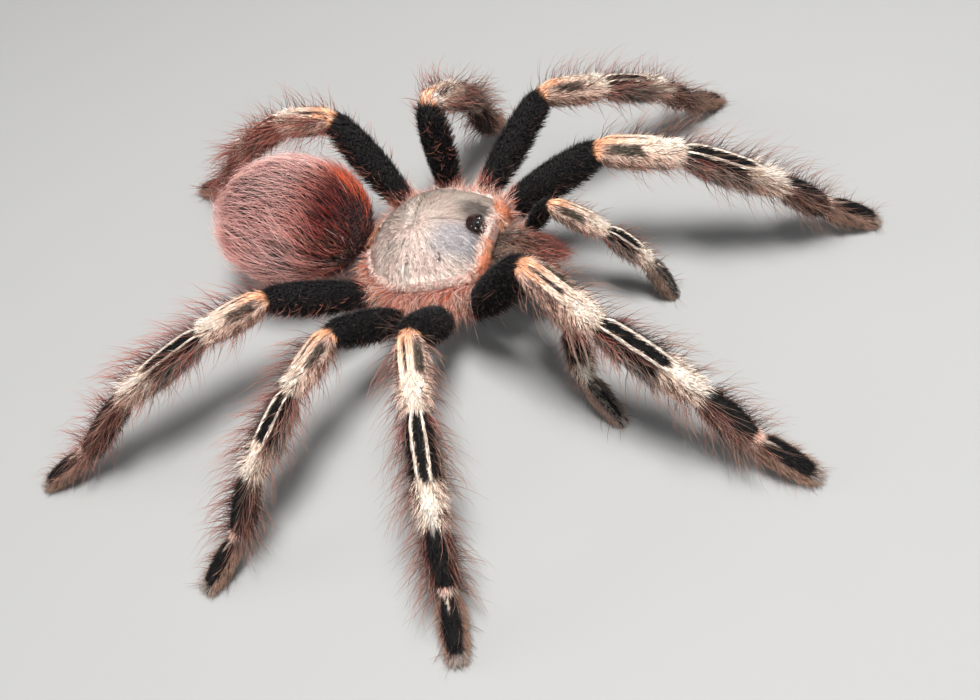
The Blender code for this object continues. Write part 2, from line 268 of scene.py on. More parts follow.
def grid_faces(rows: int, columns: int, wrap: bool) -> Array:
    """Quads of a grid of points numbered row by row.

    Args:
        rows: number of rows.
        columns: points in a row.
        wrap: whether the last column joins the first.
    Returns:
        (m, 4) vertex numbers.
    """
    row = np.arange(rows - 1)[:, None] * columns
    start = np.arange(columns if wrap else columns - 1)[None, :]
    after = (start + 1) % columns
    quads = np.stack([row + start, row + after, row + columns + after, row + columns + start], -1)
    return quads.reshape(-1, 4)


def shell(rings: Array, bottom: Array, top: Array) -> Pair:
    """A closed surface of rings between two poles.

    Args:
        rings: (rows, columns, 3) places.
        bottom: the pole before the first ring.
        top: the pole after the last ring.
    Returns:
        Its points, and its faces as quads in which a pole's corner is doubled.
    """
    rows, columns, _ = rings.shape
    points = np.concatenate([rings.reshape(-1, 3), [bottom, top]])
    faces = grid_faces(rows, columns, True)
    start = np.arange(columns)
    after = (start + 1) % columns
    low = np.stack([np.full(columns, rows * columns), np.full(columns, rows * columns), after, start], -1)
    last = (rows - 1) * columns
    high = np.stack([last + start, last + after, np.full(columns, rows * columns + 1),
                     np.full(columns, rows * columns + 1)], -1)
    return points, np.concatenate([faces, low, high])


def without_doubles(faces: Array) -> Array:
    """Triangles of (m, 4) quads, leaving out the halves that a doubled corner collapses."""
    halves = np.concatenate([faces[:, [0, 1, 2]], faces[:, [0, 2, 3]]])
    return halves[(halves != np.roll(halves, 1, axis=1)).all(1)]


def joined(shells: list[Pair]) -> Pair:
    """Points and triangles of many shells as one mesh.

    Args:
        shells: points and quads of each.
    Returns:
        All the points, and triangles that number them.
    """
    starts = np.cumsum([0] + [len(points) for points, _ in shells[:-1]])
    faces = [without_doubles(quads) + start for (_, quads), start in zip(shells, starts)]
    return np.concatenate([points for points, _ in shells]), np.concatenate(faces)


def sweep(line: Array, radius: Array, first: Array, second: Array, sides: int) -> Array:
    """Rings round a line: line + radius * (cos(turn) * first + sin(turn) * second).

    Args:
        line: (n, 3) middles.
        radius: one per middle.
        first: (n, 3) directions at turn 0.
        second: (n, 3) directions at a quarter turn.
        sides: corners of a ring.
    Returns:
        (n, sides, 3) places.
    """
    turn = np.linspace(0, 2 * math.pi, sides, endpoint=False)[None, :, None]
    return line[:, None] + radius[:, None, None] * (np.cos(turn) * first[:, None]
                                                    + np.sin(turn) * second[:, None])


def egg(centre: Array, radii: Array, rows: int = 40, columns: int = 56, swell: float = 0.0) -> Pair:
    """An ellipsoid with poles at front and rear: centre + radii * unit vector, its sides times 1 - swell * x.

    Args:
        centre: its middle.
        radii: its three radii.
        rows: rings between the poles.
        columns: points round a ring.
        swell: how much wider it is to the rear.
    Returns:
        Its points and faces, as shell gives them.
    """
    polar = np.linspace(0, math.pi, rows + 2)[1:-1, None]
    round_ = np.linspace(0, 2 * math.pi, columns, endpoint=False)[None, :]
    x = np.cos(polar) + 0 * round_
    wide = np.sin(polar) * (1 - swell * x)
    ways = np.stack([x, wide * np.cos(round_), wide * np.sin(round_)], -1)
    ends = np.array([[1, 0, 0], [-1, 0, 0]]) * radii + centre
    return shell(ways * radii + centre, ends[0], ends[1])


# --- tufts of the coat


UNWRAP_PATCH = 0.003


@dataclass
class Tufts:
    """Many tapered three-sided locks of hair: their spines, widths, colours and unwrap places.

    spine is (n, k, 3), from root to tip, and up is (n, 3), away from the skin. The colour at share t of a
    hair is root * (1 - t)^2 + 2 * middle * t * (1 - t) + tip * t^2.
    """

    spine: Array
    up: Array
    width: Array
    root: Array
    tip: Array
    place: Array
    middle: Array | None = None
    flatness: float = 0.6
    taper: float = 1.6

    def mesh(self) -> tuple[Array, Array, Array, Array]:
        """A ring is spine + (across, -across, up * flatness) * width * (1 - t ^ taper). The tip is a point.

        Returns:
            Points, triangles, colours and unwrap places.
        """
        count, stations, _ = self.spine.shape
        rings = stations - 1
        t = np.linspace(0, 1, stations)
        along = unit(np.gradient(self.spine, axis=1))
        across = unit(np.cross(along, self.up[:, None, :]))
        high = np.cross(across, along)
        swell = self.width[:, None] * (1 - t[None, :] ** self.taper)
        half = (across * swell[..., None] / 2)[:, :rings]
        crest = (high * swell[..., None] * self.flatness)[:, :rings]
        base = self.spine[:, :rings]
        ring = np.stack([base + half, base - half, base + crest], axis=2)
        points = np.concatenate([ring.reshape(count, rings * 3, 3), self.spine[:, -1:]], axis=1)
        share = np.concatenate([np.repeat(t[:rings], 3), [1.0]])
        middle = (self.root + self.tip) / 2 if self.middle is None else self.middle
        colours = (self.root[:, None, :] * ((1 - share) ** 2)[None, :, None]
                   + middle[:, None, :] * (2 * share * (1 - share))[None, :, None]
                   + self.tip[:, None, :] * (share**2)[None, :, None])
        sideways = np.concatenate([np.tile([-0.5, 0.5, 0.0], rings), [0.0]])
        spread = np.stack([sideways, share - 0.5], -1) * UNWRAP_PATCH
        places = np.clip(self.place[:, None, :] + spread[None], 0.001, 0.999)
        faces = self._faces(rings)
        size = rings * 3 + 1
        faces = (faces[None] + (np.arange(count) * size)[:, None, None]).reshape(-1, 3)
        return points.reshape(-1, 3), faces, colours.reshape(-1, 3), places.reshape(-1, 2)

    @staticmethod
    def _faces(rings: int) -> Array:
        """Triangles of one lock: a cap at the root, two for each side between rings, and three at the tip.

        Args:
            rings: number of rings before the tip.
        Returns:
            (m, 3) vertex numbers.
        """
        sides = ((0, 2), (2, 1), (1, 0))
        faces = [(0, 1, 2)]
        for ring in range(rings - 1):
            low, high = ring * 3, ring * 3 + 3
            for a, b in sides:
                faces += [(low + a, low + b, high + b), (low + a, high + b, high + a)]
        last, tip = (rings - 1) * 3, rings * 3
        faces += [(last + a, last + b, tip) for a, b in sides]
        return np.array(faces)


@dataclass(frozen=True)
class Habit:
    """How hairs grow: angles in degrees, and the share of its length by which a hair bends."""

    lift: Array | float = 30.0
    curl: Array | float = 0.4
    hug: float = 40.0
    sag: Array | float = 0.0
    bow: Array | float = 0.0
    stations: int = 3


def grow(root: Array, lie: Array, up: Array, length: Array, habit: Habit) -> Array:
    """Spines of hairs that leave the skin at an angle and bend.

    The point at share t of a hair is root + length * t * (cos(lift) * lie + sin(lift) * up)
    + length * t^2 * (curl * (lie - up) / 2 + bow * across - sag * z) - up * (length * t)^2 / (2 * hug).

    Args:
        root: where each hair starts.
        lie: unit direction in which the coat lies.
        up: unit direction away from the skin.
        length: in millimetres.
        habit: the lift, curl and bow of the hairs, and the radius of the form that they hug.
    Returns:
        (n, stations, 3) spines.
    """
    def column(value: Array | float) -> Array:
        """One value per hair, as a column that multiplies (n, stations, 3)."""
        return np.broadcast_to(value, np.shape(length))[:, None, None]

    t = np.linspace(0, 1, habit.stations)[None, :, None]
    long, angle = column(length), np.radians(column(habit.lift))
    lie, up = lie[:, None], up[:, None]
    straight = np.cos(angle) * lie + np.sin(angle) * up
    bend = column(habit.curl) * (lie - up) / 2 + column(habit.bow) * np.cross(up, lie)
    bend = bend - column(habit.sag) * np.array([0, 0, 1.0])
    return root[:, None] + long * straight * t + (long * bend - up * long**2 / (2 * habit.hug)) * t**2


class Coat:
    """A piece of the coat: batches of tufts that end up in one mesh."""

    def __init__(self, name: str, seed: int) -> None:
        """An empty coat.

        Args:
            name: the piece's name.
            seed: start of its random draws.
        """
        self.name = name
        self.rng = np.random.default_rng(seed)
        self.batches: list[Tufts] = []

    def add(self, tufts: Tufts) -> None:
        """Adds a batch of tufts."""
        self.batches.append(tufts)

    def jitter(self, colours: Array, amount: float) -> Array:
        """Colours made lighter or darker, one tuft at a time: colour * (1 + amount * a bell-curve draw)."""
        return np.clip(colours * (1 + amount * self.rng.normal(size=(len(colours), 1))), 0.002, 1)

    def build(self, stance: Stance, material: Material, slot: str) -> Item:
        """Joins the batches in one mesh that rides on the body.

        Args:
            stance: turns places into the row frame.
            material: the coat's finish.
            slot: not used.
        Returns:
            The piece.
        """
        parts = [batch.mesh() for batch in self.batches]
        starts = np.cumsum([0] + [len(part[0]) for part in parts[:-1]])
        points = np.concatenate([part[0] for part in parts])
        points[:, 2] = np.maximum(points[:, 2], 0.03)
        faces = np.concatenate([part[1] + start for part, start in zip(parts, starts)])
        item = new_object(self.name, stance.to_row(points), faces, material)
        add_colour(item, np.concatenate([part[2] for part in parts]))
        add_unwrap(item, np.concatenate([part[3] for part in parts]))
        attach(item, "root")
        LOG.info("%s: %d triangles", self.name, len(faces))
        return item


# --- the front body


@dataclass(frozen=True)
class Tilt:
    """A tilted frame: where its middle stands, how far it pitches up to the head and rolls to the right."""

    centre: tuple
    pitch: float
    roll: float

    def matrix(self) -> Array:
        """The turn from the tilted frame: first the roll about x, then the pitch about y."""
        pitch, roll = math.radians(-self.pitch), math.radians(self.roll)
        about_x = np.array([[1, 0, 0], [0, math.cos(roll), -math.sin(roll)],
                            [0, math.sin(roll), math.cos(roll)]])
        about_y = turn_about_y(pitch)
        return about_y @ about_x

    def place(self, points: Array) -> Array:
        """Turns and moves places from the tilted frame into the animal's."""
        return np.asarray(points, float) @ self.matrix().T + np.array(self.centre)

    def turn(self, vectors: Array) -> Array:
        """Turns directions from the tilted frame into the animal's."""
        return np.asarray(vectors, float) @ self.matrix().T


PROSOMA = Tilt((0.0, 0.0, 13.8), 2.0, 3.7)
SHIELD = Tilt((-0.6, -0.6, 14.3), 7.6, 0.0)


# --- limbs


LEG_SEGMENTS = (Segment.FEMUR, Segment.PATELLA, Segment.TIBIA, Segment.METATARSUS, Segment.TARSUS)
PALP_SEGMENTS = (Segment.FEMUR, Segment.PATELLA, Segment.TIBIA, Segment.TARSUS)
# Radii out to the coat's tips at the start, the middle and the end of each segment.
LEG_RADII = ((2.25, 3.25, 2.5), (2.5, 2.85, 2.4), (2.4, 2.85, 2.2), (2.2, 2.55, 1.95), (1.95, 2.3, 1.5))
PALP_RADII = ((1.4, 1.8, 1.75), (1.75, 2.2, 1.9), (1.9, 2.2, 1.7), (1.7, 2.0, 1.4))
COAT_DEPTH = {Segment.COXA: 0.7, Segment.FEMUR: 0.75, Segment.PATELLA: 0.75, Segment.TIBIA: 0.85,
              Segment.METATARSUS: 0.8, Segment.TARSUS: 0.62}
COXA_ROOT_SHARE = 0.3
COXA_ROOT_HEIGHT = -4.6
COXA_SWELL = 0.2
TIP_ROUNDING = 0.84
SOLE_FLAT = 0.18
STEP = 0.1
EASE = 3.6

HIPS = {"1": (8.4, 9.2, -2.6), "2": (3.6, 12.0, -2.6), "3": (-2.6, 12.7, -2.6), "4": (-9.0, 9.0, -2.6),
        "palp": (12.0, 6.2, -3.8)}
LENGTHS = {"1": (18.7, 12.2, 16.3, 11.0, 9.7), "2": (18.2, 10.8, 14.4, 9.9, 9.2),
           "3": (17.0, 9.3, 12.5, 10.9, 8.9), "4": (18.4, 10.0, 15.2, 15.5, 9.5),
           "palp": (10.0, 9.4, 8.7, 8.6)}
THICKNESS = {"1": 1.0, "2": 0.92, "3": 0.88, "4": 0.93, "palp": 1.0}
# Yaws from straight ahead to the limb's own side, then pitches above level. The last brings the toe down.
POSES = {
    ("right", "1"): ((21.5, 21, 15.5, 9.5, 12), (52.5, -25, -28, -44.5)),
    ("right", "2"): ((80, 69, 70, 72, 71), (44.5, -10.5, -31.5, -55)),
    ("right", "3"): ((108, 113, 108, 118, 118.5), (40.5, -14.5, -25, -52)),
    ("right", "4"): ((132.5, 136, 139, 152, 150.5), (35, -2, -18.5, -42.5)),
    ("right", "palp"): ((4, 53, 52, 31), (48, -21, -64)),
    ("left", "1"): ((10.5, 8.5, 12, 29, 20.5), (35.5, -5.5, -29.5, -45)),
    ("left", "2"): ((46, 42.5, 50, 61, 57), (43.5, -19, -33.5, -48.5)),
    ("left", "3"): ((87, 86, 95, 101, 101), (87, -28, -49, -65)),
    ("left", "4"): ((171, 175, 171, 162, 166), (61, -10, -36, -52)),
    ("left", "palp"): ((-22, 4, 0, 0.5), (55.5, -32, -45.5)),
}


def barrel(radii: tuple, share: Array) -> Array:
    """Radius at a share of a segment: the parabola through its start, middle and end radii."""
    start, middle, end = radii
    left = 1 - share
    return start * left * (1 - 2 * share) + 4 * middle * share * left - end * share * (1 - 2 * share)


@dataclass(frozen=True)
class Limb:
    """A leg or palp in its pose, with its coat's outer radii."""

    side_name: str
    key: str

    @property
    def name(self) -> str:
        """The name that starts its nodes' names."""
        return f"palp_{self.side_name}" if self.key == "palp" else f"leg_{self.side_name}_{self.key}"

    @property
    def side(self) -> int:
        """1 on the left, -1 on the right."""
        return 1 if self.side_name == "left" else -1

    @property
    def segments(self) -> tuple:
        """Its segments beyond the hip."""
        return PALP_SEGMENTS if self.key == "palp" else LEG_SEGMENTS

    @property
    def radii(self) -> tuple:
        """Outer radii of the coxa and of each segment, scaled by the limb's thickness."""
        base = PALP_RADII if self.key == "palp" else LEG_RADII
        scaled = [tuple(radius * THICKNESS[self.key] for radius in row) for row in base]
        first = scaled[0][0]
        return ((first, first + COXA_SWELL, first), *scaled)

    @property
    def nodes(self) -> list[str]:
        """The frame's nodes that this limb stands for."""
        return [f"{self.name}_{segment.value}" for segment in self.segments]

    def joints(self) -> Array:
        """Joint points from the coxa's root to the toe, each one length further along its heading.

        The toe is lowered in steps until the sole, the centre line less cos(pitch) * radius, meets the floor.

        Returns:
            (n, 3) places in the animal's frame.
        """
        hip = np.array(HIPS[self.key]) * (1, self.side, 1)
        root = np.array([hip[0] * COXA_ROOT_SHARE, hip[1] * COXA_ROOT_SHARE, COXA_ROOT_HEIGHT])
        points = list(PROSOMA.place([root, hip]))
        yaws, pitches = POSES[self.side_name, self.key]
        for length, yaw, pitch in zip(LENGTHS[self.key], yaws, pitches):
            points.append(points[-1] + length * self._heading(yaw, pitch))
        ankle, last = points[-1], LENGTHS[self.key][-1]
        share = np.linspace(0, 1, 41)
        radius = self._toe(share)
        height = self.radii[-1][2]
        for _ in range(6):
            slope = math.sqrt(1 - ((height - ankle[2]) / last) ** 2)
            height -= float(np.min(ankle[2] + (height - ankle[2]) * share - slope * radius)) + SOLE_FLAT
        pitch = math.degrees(math.asin((height - ankle[2]) / last))
        points.append(ankle + last * self._heading(yaws[-1], pitch))
        return np.array(points)

    def _heading(self, yaw: float, pitch: float) -> Array:
        """Unit vector for a yaw to the limb's own side and a pitch above level, in degrees."""
        yaw, pitch = math.radians(yaw), math.radians(pitch)
        level = math.cos(pitch)
        return np.array([level * math.cos(yaw), self.side * level * math.sin(yaw), math.sin(pitch)])

    def _toe(self, share: Array) -> Array:
        """Outer radius of the last segment: a barrel whose end is rounded off like an ellipse."""
        past = np.clip((share - TIP_ROUNDING) / (1.02 - TIP_ROUNDING), 0, 1)
        return barrel(self.radii[-1], share) * np.sqrt(1 - past**2)


class LimbForm:
    """The skin's form along a limb: a smooth centre line with a radius and a frame at each step.

    phi is the angle round the limb: 0 on top, positive on the side that faces forwards.
    """

    def __init__(self, limb: Limb) -> None:
        """Works out the arrays of the centre line.

        Args:
            limb: the leg or palp.
        """
        self.limb = limb
        joints = limb.joints()
        ways = unit(np.diff(joints, axis=0))
        lengths = np.linalg.norm(np.diff(joints, axis=0), axis=1)
        self.stops = np.concatenate([[0], np.cumsum(lengths)])
        self.length = float(self.stops[-1])
        moved = joints.copy()
        moved[1:-1] += EASE / 8 * (ways[:-1] - ways[1:])
        ends = np.array([moved[0] - ways[0] * EASE, moved[-1] + ways[-1] * EASE])
        knots = np.concatenate([[-EASE], self.stops, [self.length + EASE]])
        spots = np.concatenate([ends[:1], moved, ends[1:]])
        spots[1], spots[-2] = joints[0], joints[-1]
        fine = np.arange(-EASE, self.length + EASE, STEP)
        line = np.stack([np.interp(fine, knots, spots[:, axis]) for axis in range(3)], -1)
        half = int(EASE / 2 / STEP / 2)
        for _ in range(2):
            line = self._average(line, half)
        inside = (fine >= -STEP) & (fine <= self.length + STEP)
        self.s = fine[inside]
        self.line = line[inside]
        self.along = unit(np.gradient(self.line, axis=0))
        up = np.array([0, 0, 1.0])
        self.top = unit(up - (self.along @ up)[:, None] * self.along)
        self.front = -limb.side * np.cross(self.top, self.along)
        self.segment, self.share = self.locate(self.s)
        self.radius = self._radius()

    @staticmethod
    def _average(line: Array, half: int) -> Array:
        """Moving average over 2 * half + 1 steps, with the ends repeated."""
        padded = np.concatenate([np.repeat(line[:1], half, 0), line, np.repeat(line[-1:], half, 0)])
        total = np.cumsum(np.concatenate([np.zeros((1, 3)), padded]), axis=0)
        return (total[2 * half + 1:] - total[:-2 * half - 1]) / (2 * half + 1)

    def locate(self, s: Array) -> Pair:
        """Segment number and share of its length at a distance along the limb.

        Args:
            s: distances from the coxa's root.
        Returns:
            The numbers, 0 for the coxa, and the shares.
        """
        number = np.clip(np.searchsorted(self.stops, s, side="right") - 1, 0, len(self.stops) - 2)
        share = (s - self.stops[number]) / (self.stops[number + 1] - self.stops[number])
        return number, np.clip(share, 0, 1)

    def _radius(self) -> Array:
        """Skin radius: the coat's outer barrel less its depth, slimmer at each joint, rounded at the toe."""
        names = (Segment.COXA, *self.limb.segments)
        outer = np.zeros(len(self.s))
        depth = np.zeros(len(self.s))
        for number, name in enumerate(names):
            here = self.segment == number
            outer[here] = barrel(self.limb.radii[number], self.share[here])
            depth[here] = COAT_DEPTH[name]
        kernel = np.ones(13) / 13
        depth = np.convolve(np.pad(depth, 6, mode="edge"), kernel, mode="valid")
        joints = self.stops[2:-1]
        near = np.abs(self.s[:, None] - joints[None, :]).min(1)
        neck = 0.42 * np.exp(-(near / 1.0) ** 2)
        last = self.stops[-2]
        share = np.clip((self.s - last) / (self.length - last), 0, 1)
        past = np.clip((share - TIP_ROUNDING) / (1.0 - TIP_ROUNDING), 0, 1)
        return (outer - depth - neck) * np.sqrt(np.maximum(1 - past**2, 1e-4))

    def read(self, values: Array, s: Array) -> Array:
        """Straight-line reading of an array of the centre line at distances s."""
        if values.ndim == 1:
            return np.interp(s, self.s, values)
        return np.stack([np.interp(s, self.s, values[:, axis]) for axis in range(values.shape[1])], -1)

    def out(self, s: Array, phi: Array) -> Array:
        """Unit direction away from the limb: cos(phi) * top + sin(phi) * front."""
        return unit(np.cos(phi)[..., None] * self.read(self.top, s)
                    + np.sin(phi)[..., None] * self.read(self.front, s))

    def place(self, s: Array, phi: Array, height: Array | float = 0.0) -> Array:
        """Centre line + (radius + height) * out."""
        radius = self.read(self.radius, s) + height
        return self.read(self.line, s) + radius[..., None] * self.out(s, phi)

    def tube(self) -> Pair:
        """The skin's closed tube: rings of place(s, phi) between a pole at the root and one at the toe.

        Returns:
            Points and faces as shell gives them. Points below the floor are lifted to it.
        """
        s = np.linspace(0.0, self.length - 0.01, int(self.length / 0.45))
        phi = np.linspace(0, 2 * math.pi, 28, endpoint=False)
        grid_s, grid_phi = np.meshgrid(s, phi, indexing="ij")
        rings = self.place(grid_s, grid_phi)
        rings[..., 2] = np.maximum(rings[..., 2], FLOOR_GAP)
        return shell(rings, self.line[0], np.maximum(self.line[-1], [-1e3, -1e3, FLOOR_GAP]))

    def unwrap(self, s: Array, phi: Array) -> Array:
        """Place on the limb's unwrap: its length runs to the right and its turn upwards."""
        around = (np.mod(phi + math.pi, 2 * math.pi)) / (2 * math.pi)
        return np.stack([0.01 + 0.98 * np.clip(s / self.length, 0, 1), 0.01 + 0.98 * around], -1)


# --- markings of a limb


class Markings:
    """The pattern of a limb, as colours of share and phi on each segment. Skin and coat both read it."""

    @staticmethod
    def colour(segment: Segment, share: Array, phi: Array, spots: Array) -> Array:
        """Colour of the short coat.

        Args:
            segment: which segment.
            share: share of its length.
            phi: angle round it, 0 on top, positive to the front.
            spots: places, for the mottling.
        Returns:
            (n, 3) colours.
        """
        painter = {Segment.COXA: Markings._coxa, Segment.FEMUR: Markings._femur,
                   Segment.PATELLA: Markings._patella, Segment.TIBIA: Markings._tibia,
                   Segment.METATARSUS: Markings._metatarsus, Segment.TARSUS: Markings._tarsus}[segment]
        return painter(share, phi, ripple(spots, 1.6, 5), ripple(spots, 0.7, 6))

    @staticmethod
    def _coxa(share: Array, phi: Array, patch: Array, speck: Array) -> Array:
        """Salmon and pink above, soot below."""
        above = blend(PAINT.brick, PAINT.blush, np.clip(0.40 + 0.35 * patch + 0.35 * speck, 0, 1))
        return blend(above, PAINT.soot, ramp(1.5, 2.3, np.abs(phi)))

    @staticmethod
    def _femur(share: Array, phi: Array, patch: Array, speck: Array) -> Array:
        """Black velvet, rust at the root, browner below."""
        base = blend(PAINT.black, PAINT.soot, np.clip(0.12 + 0.12 * patch + 0.12 * speck, 0, 1))
        base = blend(base, PAINT.umber, 0.4 * ramp(2.0, 2.7, np.abs(phi)))
        base = blend(base, PAINT.brick, 0.6 * (1 - ramp(0.0, 0.07, share + 0.03 * patch)))
        return blend(base, PAINT.honey, ramp(0.97, 0.99, share) * (1 - ramp(1.2, 1.9, np.abs(phi))))

    @staticmethod
    def _patella(share: Array, phi: Array, patch: Array, speck: Array) -> Array:
        """Two cream stripes with a dark line between, a white end, and a dark wedge on the front side."""
        round_ = np.abs(phi)
        mottle = blend(PAINT.tan, PAINT.umber, np.clip(0.30 + 0.25 * patch + 0.25 * speck, 0, 1))
        base = blend(mottle, PAINT.blush, 0.55 * (1 - ramp(1.1, 1.9, round_)))
        lit = ramp(0.05, 0.12, share) * (1 - ramp(0.46, 0.62, share))
        wedge = band(0.38, 1.15, 0.10, phi) * band(0.13, 0.58, 0.06, share + 0.03 * patch)
        rear = band(-1.5, -0.86, 0.12, phi) * band(0.16, 0.52, 0.08, share + 0.03 * patch)
        base = blend(base, PAINT.moss * 0.28, 0.95 * wedge)
        base = blend(base, PAINT.umber * 0.6, 0.7 * rear)
        base = blend(base, PAINT.cream,
                     0.7 * band(1.15, 1.38, 0.07, phi + 0.03 * patch) * (1 - ramp(0.5, 0.65, share)))
        stripes = band(-0.14, 0.34, 0.04, phi) + band(-0.82, -0.36, 0.05, phi)
        warm = blend(PAINT.honey, PAINT.cream, ramp(0.05, 0.45, share + 0.08 * patch + 0.12 * (phi > -0.2)))
        base = blend(base, warm, np.clip(stripes, 0, 1) * ramp(0.03, 0.08, share))
        base = blend(base, PAINT.soot, band(-0.36, -0.14, 0.035, phi) * lit * 0.95)
        start = 0.56 + 0.05 * patch + 0.04 * ramp(0.4, 1.4, round_)
        pale = ramp(-0.07, 0.07, share - start) * (1 - ramp(1.6, 2.3, round_))
        base = blend(base, blend(PAINT.cream, PAINT.blush, 0.35 * ramp(0.6, 1.4, round_)), pale)
        base = blend(base, PAINT.white, 0.6 * band(0.62, 0.93, 0.06, share) * (1 - ramp(0.4, 0.9, round_)))
        ring = (1 - ramp(0.035, 0.085, share + 0.015 * patch)) * (1 - ramp(1.9, 2.5, round_))
        base = blend(base, blend(PAINT.honey, PAINT.cream, 0.3 + 0.3 * patch), 0.95 * ring)
        return blend(base, PAINT.maroon, 0.6 * ramp(2.1, 2.7, round_))

    @staticmethod
    def _tibia(share: Array, phi: Array, patch: Array, speck: Array) -> Array:
        """A black panel between two cream lines, grey sides, and a cream end that starts in a point."""
        round_ = np.abs(phi)
        base = blend(PAINT.soot, PAINT.slate, np.clip(0.25 + 0.3 * patch + 0.3 * speck, 0, 1))
        base = blend(base, PAINT.black, 1 - ramp(1.25, 1.6, round_))
        line = band(0.44, 0.59, 0.03, round_ + 0.10 * share) * ramp(0.0, 0.03, share)
        base = blend(base, PAINT.cream, line)
        start = 0.60 + 0.03 * patch + 0.07 * ramp(0.8, 1.7, round_) + 0.05 * (1 - ramp(0.0, 0.4, round_))
        pale = ramp(-0.035, 0.035, share - start)
        under = blend(PAINT.cream, PAINT.honey * 0.85, ramp(1.0, 1.9, round_))
        base = blend(base, under, pale * (1 - 0.5 * ramp(2.3, 2.9, round_)))
        base = blend(base, PAINT.white, 0.8 * band(0.70, 0.97, 0.05, share) * (1 - ramp(0.35, 0.9, round_)))
        return blend(base, PAINT.soot, 0.7 * ramp(2.1, 2.8, round_) * (1 - pale))

    @staticmethod
    def _metatarsus(share: Array, phi: Array, patch: Array, speck: Array) -> Array:
        """Soot on top, brown and pink at the sides, a cream point at the start, a pale ring at the end."""
        round_ = np.abs(phi)
        base = blend(PAINT.black, PAINT.soot, np.clip(0.30 + 0.25 * patch + 0.25 * speck, 0, 1))
        base = blend(base, PAINT.brick * 0.9, 0.75 * band(1.0, 1.7, 0.25, round_ + 0.2 * patch))
        base = blend(base, PAINT.umber, 0.7 * ramp(1.6, 2.0, round_))
        base = blend(base, PAINT.white,
                     (1 - ramp(0.03, 0.10, share + 0.12 * round_)) * (1 - ramp(0.3, 0.5, round_)))
        ring = ramp(0.84, 0.89, share + 0.02 * patch)
        pink = blend(PAINT.cream, PAINT.salmon, np.clip(0.35 + 0.3 * patch, 0, 1))
        return blend(base, pink, ring * (1 - 0.5 * ramp(2.0, 2.7, round_)))

    @staticmethod
    def _tarsus(share: Array, phi: Array, patch: Array, speck: Array) -> Array:
        """A black oval on top inside a brown and pink border, with a grey end."""
        round_ = np.abs(phi)
        side = blend(PAINT.umber, PAINT.blush * 0.8, np.clip(0.3 + 0.3 * patch + 0.2 * speck, 0, 1))
        oval = (1 - ramp(0.85, 1.2, round_ + 0.9 * np.abs(share - 0.45) ** 2)) * band(0.03, 0.87, 0.05, share)
        base = blend(side, PAINT.black, oval)
        base = blend(base, PAINT.cream, 0.7 * band(0.04, 0.24, 0.05, share) * (1 - ramp(0.04, 0.14, round_)))
        base = blend(base, PAINT.ash, 0.6 * ramp(0.84, 0.95, share))
        return blend(base, PAINT.slate, 0.8 * ramp(2.0, 2.5, round_))


# --- the limb's coat


@dataclass(frozen=True)
class Pile:
    """The short coat of one segment: hairs for each square millimetre, their sizes and their lift."""

    density: float
    length: float
    width: float
    lift: float


PILES = {
    Segment.COXA: Pile(9.0, 1.7, 0.15, 32),
    Segment.FEMUR: Pile(15.0, 0.95, 0.12, 34),
    Segment.PATELLA: Pile(17.0, 1.05, 0.115, 17),
    Segment.TIBIA: Pile(16.0, 1.0, 0.115, 17),
    Segment.METATARSUS: Pile(15.0, 1.05, 0.115, 22),
    Segment.TARSUS: Pile(16.0, 0.8, 0.11, 24),
}


# The highest place that a hair of the legs may reach.
COAT_TOP = 32.5


def under_top(spine: Array) -> Array:
    """Shortens the hairs that would rise past COAT_TOP, down to a quarter at most.

    Args:
        spine: (n, k, 3) places along each hair, root first.
    Returns:
        The hairs, with their roots where they were.
    """
    root = spine[:, :1]
    rise = np.maximum((spine[..., 2] - root[..., 2]).max(1), 1e-6)
    share = np.clip((COAT_TOP - root[:, 0, 2]) / rise, 0.25, 1.0)
    return root + (spine - root) * share[:, None, None]


class Side(Enum):
    """Which side of a limb a stretch of hair grows on: the sign of its angle, or 0 for both."""

    REAR = -1
    BOTH = 0


@dataclass(frozen=True)
class Fringe:
    """Hair on a stretch of a segment: how many, share of its length, angle round it, sizes and colours."""

    segment: Segment
    side: Side
    count: int
    share: tuple
    phi: tuple
    length: tuple
    lift: tuple
    root: Array
    middle: Array
    tip: Array
    width: float = 0.11
    curl: float = 0.45
    sag: float = 0.1
    stations: int = 3
    marked: float = 0.25


def fuzz() -> tuple[Fringe, ...]:
    """Short upright hair that softens the outline of every segment."""
    rows = ((Segment.FEMUR, 900, (0.9, 1.6), PAINT.black, PAINT.soot, 0.2),
            (Segment.PATELLA, 440, (0.9, 1.7), PAINT.tan, PAINT.blush, 0.75),
            (Segment.TIBIA, 480, (0.9, 1.7), PAINT.soot, PAINT.slate, 0.7),
            (Segment.METATARSUS, 380, (0.9, 1.7), PAINT.soot, PAINT.slate, 0.6),
            (Segment.TARSUS, 340, (0.6, 1.2), PAINT.soot, PAINT.slate, 0.5))
    return tuple(Fringe(segment, Side.BOTH, count, (0.0, 1.0), (0.2, 3.0), length, (40, 72),
                        root, tip, tip, 0.085, 0.3, 0.0, 2, marked)
                 for segment, count, length, root, tip, marked in rows)


